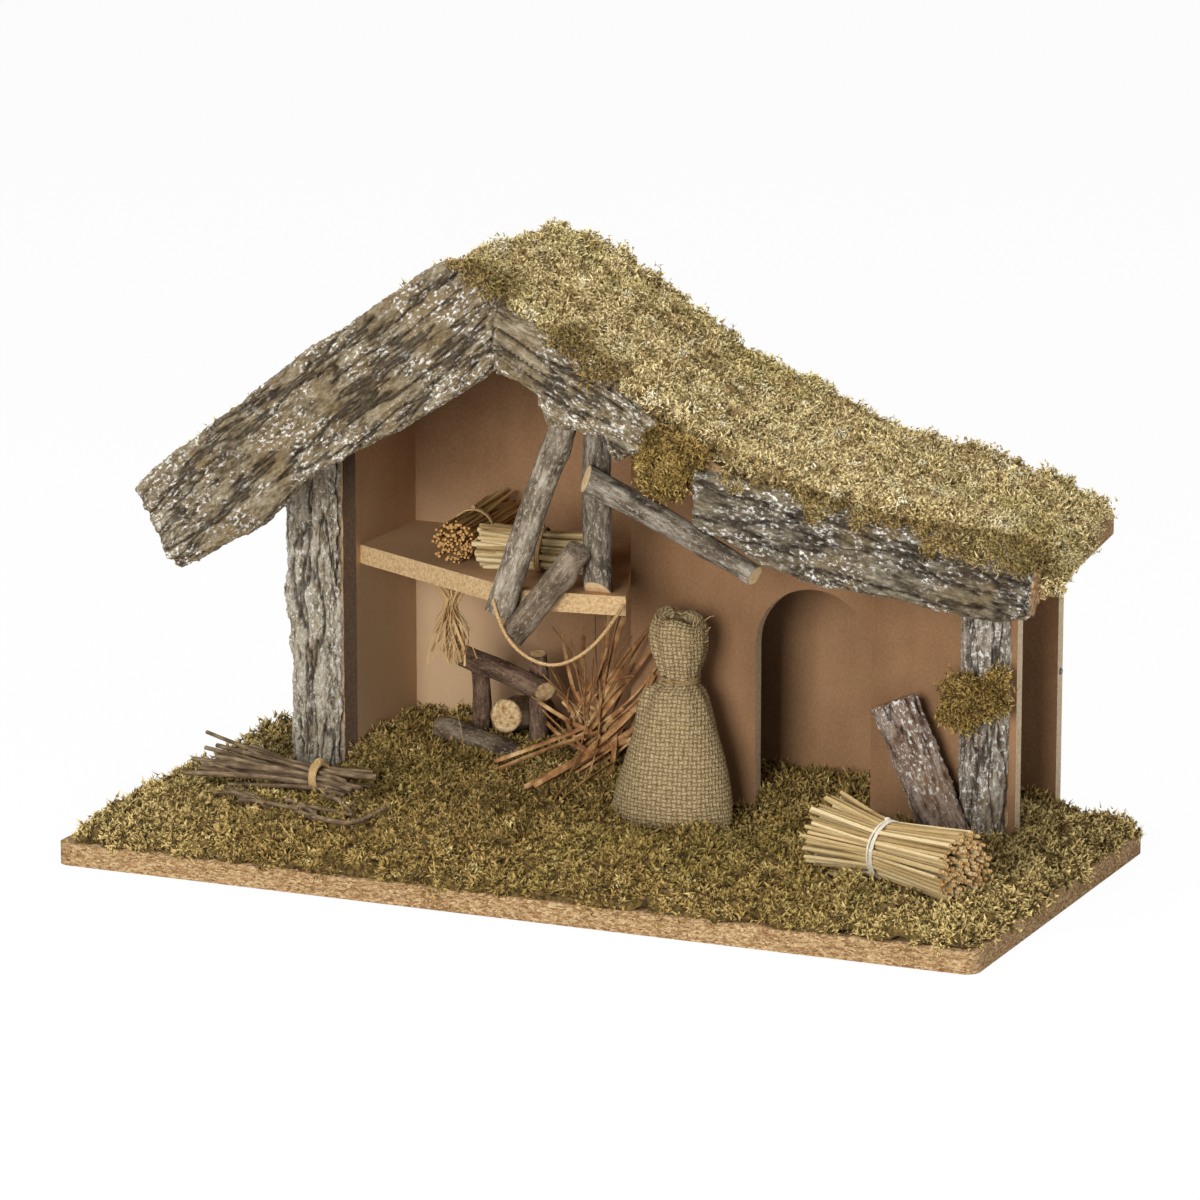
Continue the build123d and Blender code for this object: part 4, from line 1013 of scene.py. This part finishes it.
# Twine: a length of thin hemp string, caught behind the long pole's foot and hung in a slack loop to the loft's corner.
# It is glued at both ends and sags freely below the loft's front edge.
twine_route = (
    (-0.0380, -0.0237, 0.1100), (-0.0345, -0.0250, 0.0985), (-0.0240, -0.0260, 0.0880), (-0.0100, -0.0260, 0.0845),
    (0.0030, -0.0250, 0.0910), (0.0110, -0.0185, 0.1010), (0.0128, -0.0080, 0.1090),
)
twine = routed(
    "twine_string", [(twine_route, 1.0, 1.0, 0.0)],
    bevel_depth=0.0007, bevel_resolution=3, resolution_u=12, use_fill_caps=True)
fit(twine, ["twine"], cord_finish("hemp_cord", rgb(134, 98, 60), rgb(204, 172, 122)))


# Nail: a small steel nail head in the back wall's raw end.
# It is driven in flush, grey and slightly dulled.
def nail_finish():
    place, surface = new_finish("dull_steel")
    scuff = place.noise(2400, 2)
    material = surface(scuff.ramp((0.3, rgb(96, 94, 92)), (0.7, rgb(150, 148, 144))), scuff, 0.0001)
    shader = material.node_tree.nodes["Principled BSDF"]
    shader.inputs["Metallic"].default_value = 1.0
    shader.inputs["Roughness"].default_value = 0.45
    return material


coat(nodes["wall_nail"], nail_finish())


# Studio: a pale floor, soft light from large lamps before, beside and above the stable, and the photograph's camera.
# The floor shows white with a faint shadow, as on a table swept with light.
bpy.ops.mesh.primitive_plane_add(size=24, location=(0, 0, cad_box[0].z - 0.0002))
floor = bpy.context.object
floor.name = "studio_floor"
floor_paint = bpy.data.materials.new("pale_floor")
floor_paint.use_nodes = True
floor_tree = floor_paint.node_tree
floor_shader = floor_tree.nodes["Principled BSDF"]
floor_shader.inputs["Base Color"].default_value = (0.86, 0.86, 0.86, 1)
floor_shader.inputs["Roughness"].default_value = 1.0
ray = Field(floor_tree, floor_tree.nodes.new("ShaderNodeLightPath").outputs["Is Camera Ray"])
mirrored = ray.math("MAXIMUM", ray.other("Is Glossy Ray"), ray.other("Is Transmission Ray"))
seen = ray.math("MAXIMUM", ray, mirrored)
glow = ray.node("ShaderNodeEmission", {"Color": (1, 1, 1, 1)})
lit = Field(floor_tree, floor_shader.outputs[0])
white = ray.node("ShaderNodeMixShader", {0: seen * 0.96, 1: lit, 2: glow})
floor_tree.links.new(white.socket, floor_tree.nodes["Material Output"].inputs["Surface"])
floor.data.materials.append(floor_paint)

world = bpy.data.worlds.new("studio")
bpy.context.scene.world = world
world.use_nodes = True
sky = world.node_tree.nodes["Background"]
sky.inputs["Color"].default_value = (1, 1, 1, 1)
sky.inputs["Strength"].default_value = 0.18

target, lamp_distance = Vector((0, 0, 0.11)), 2.2
for azimuth, height, size, energy in ((2, 12, 0.9, 44), (76, 24, 0.8, 11)):
    turn, rise = radians(azimuth), radians(height)
    lamp_way = Vector((sin(turn) * cos(rise), -cos(turn) * cos(rise), sin(rise)))
    bpy.ops.object.light_add(
        type="AREA", location=target + lamp_distance * lamp_way, rotation=lamp_way.to_track_quat("Z", "Y").to_euler())
    bpy.context.object.data.size = size
    bpy.context.object.data.energy = energy
bpy.ops.object.light_add(type="AREA", location=(0, -0.3, 2.1))
top_lamp = bpy.context.object
top_lamp.data.size = 1.2
top_lamp.data.energy = 34

camera_place = Vector((0.9611, -2.1742, 0.6492))
camera_way = Vector((-0.3946, 0.8917, -0.2219))
bpy.ops.object.camera_add(location=camera_place, rotation=camera_way.to_track_quat("-Z", "Y").to_euler())
camera = bpy.context.object
camera.data.lens = 180
camera.data.sensor_width = 36
bpy.context.scene.camera = camera
bpy.context.scene.view_settings.view_transform = "Standard"
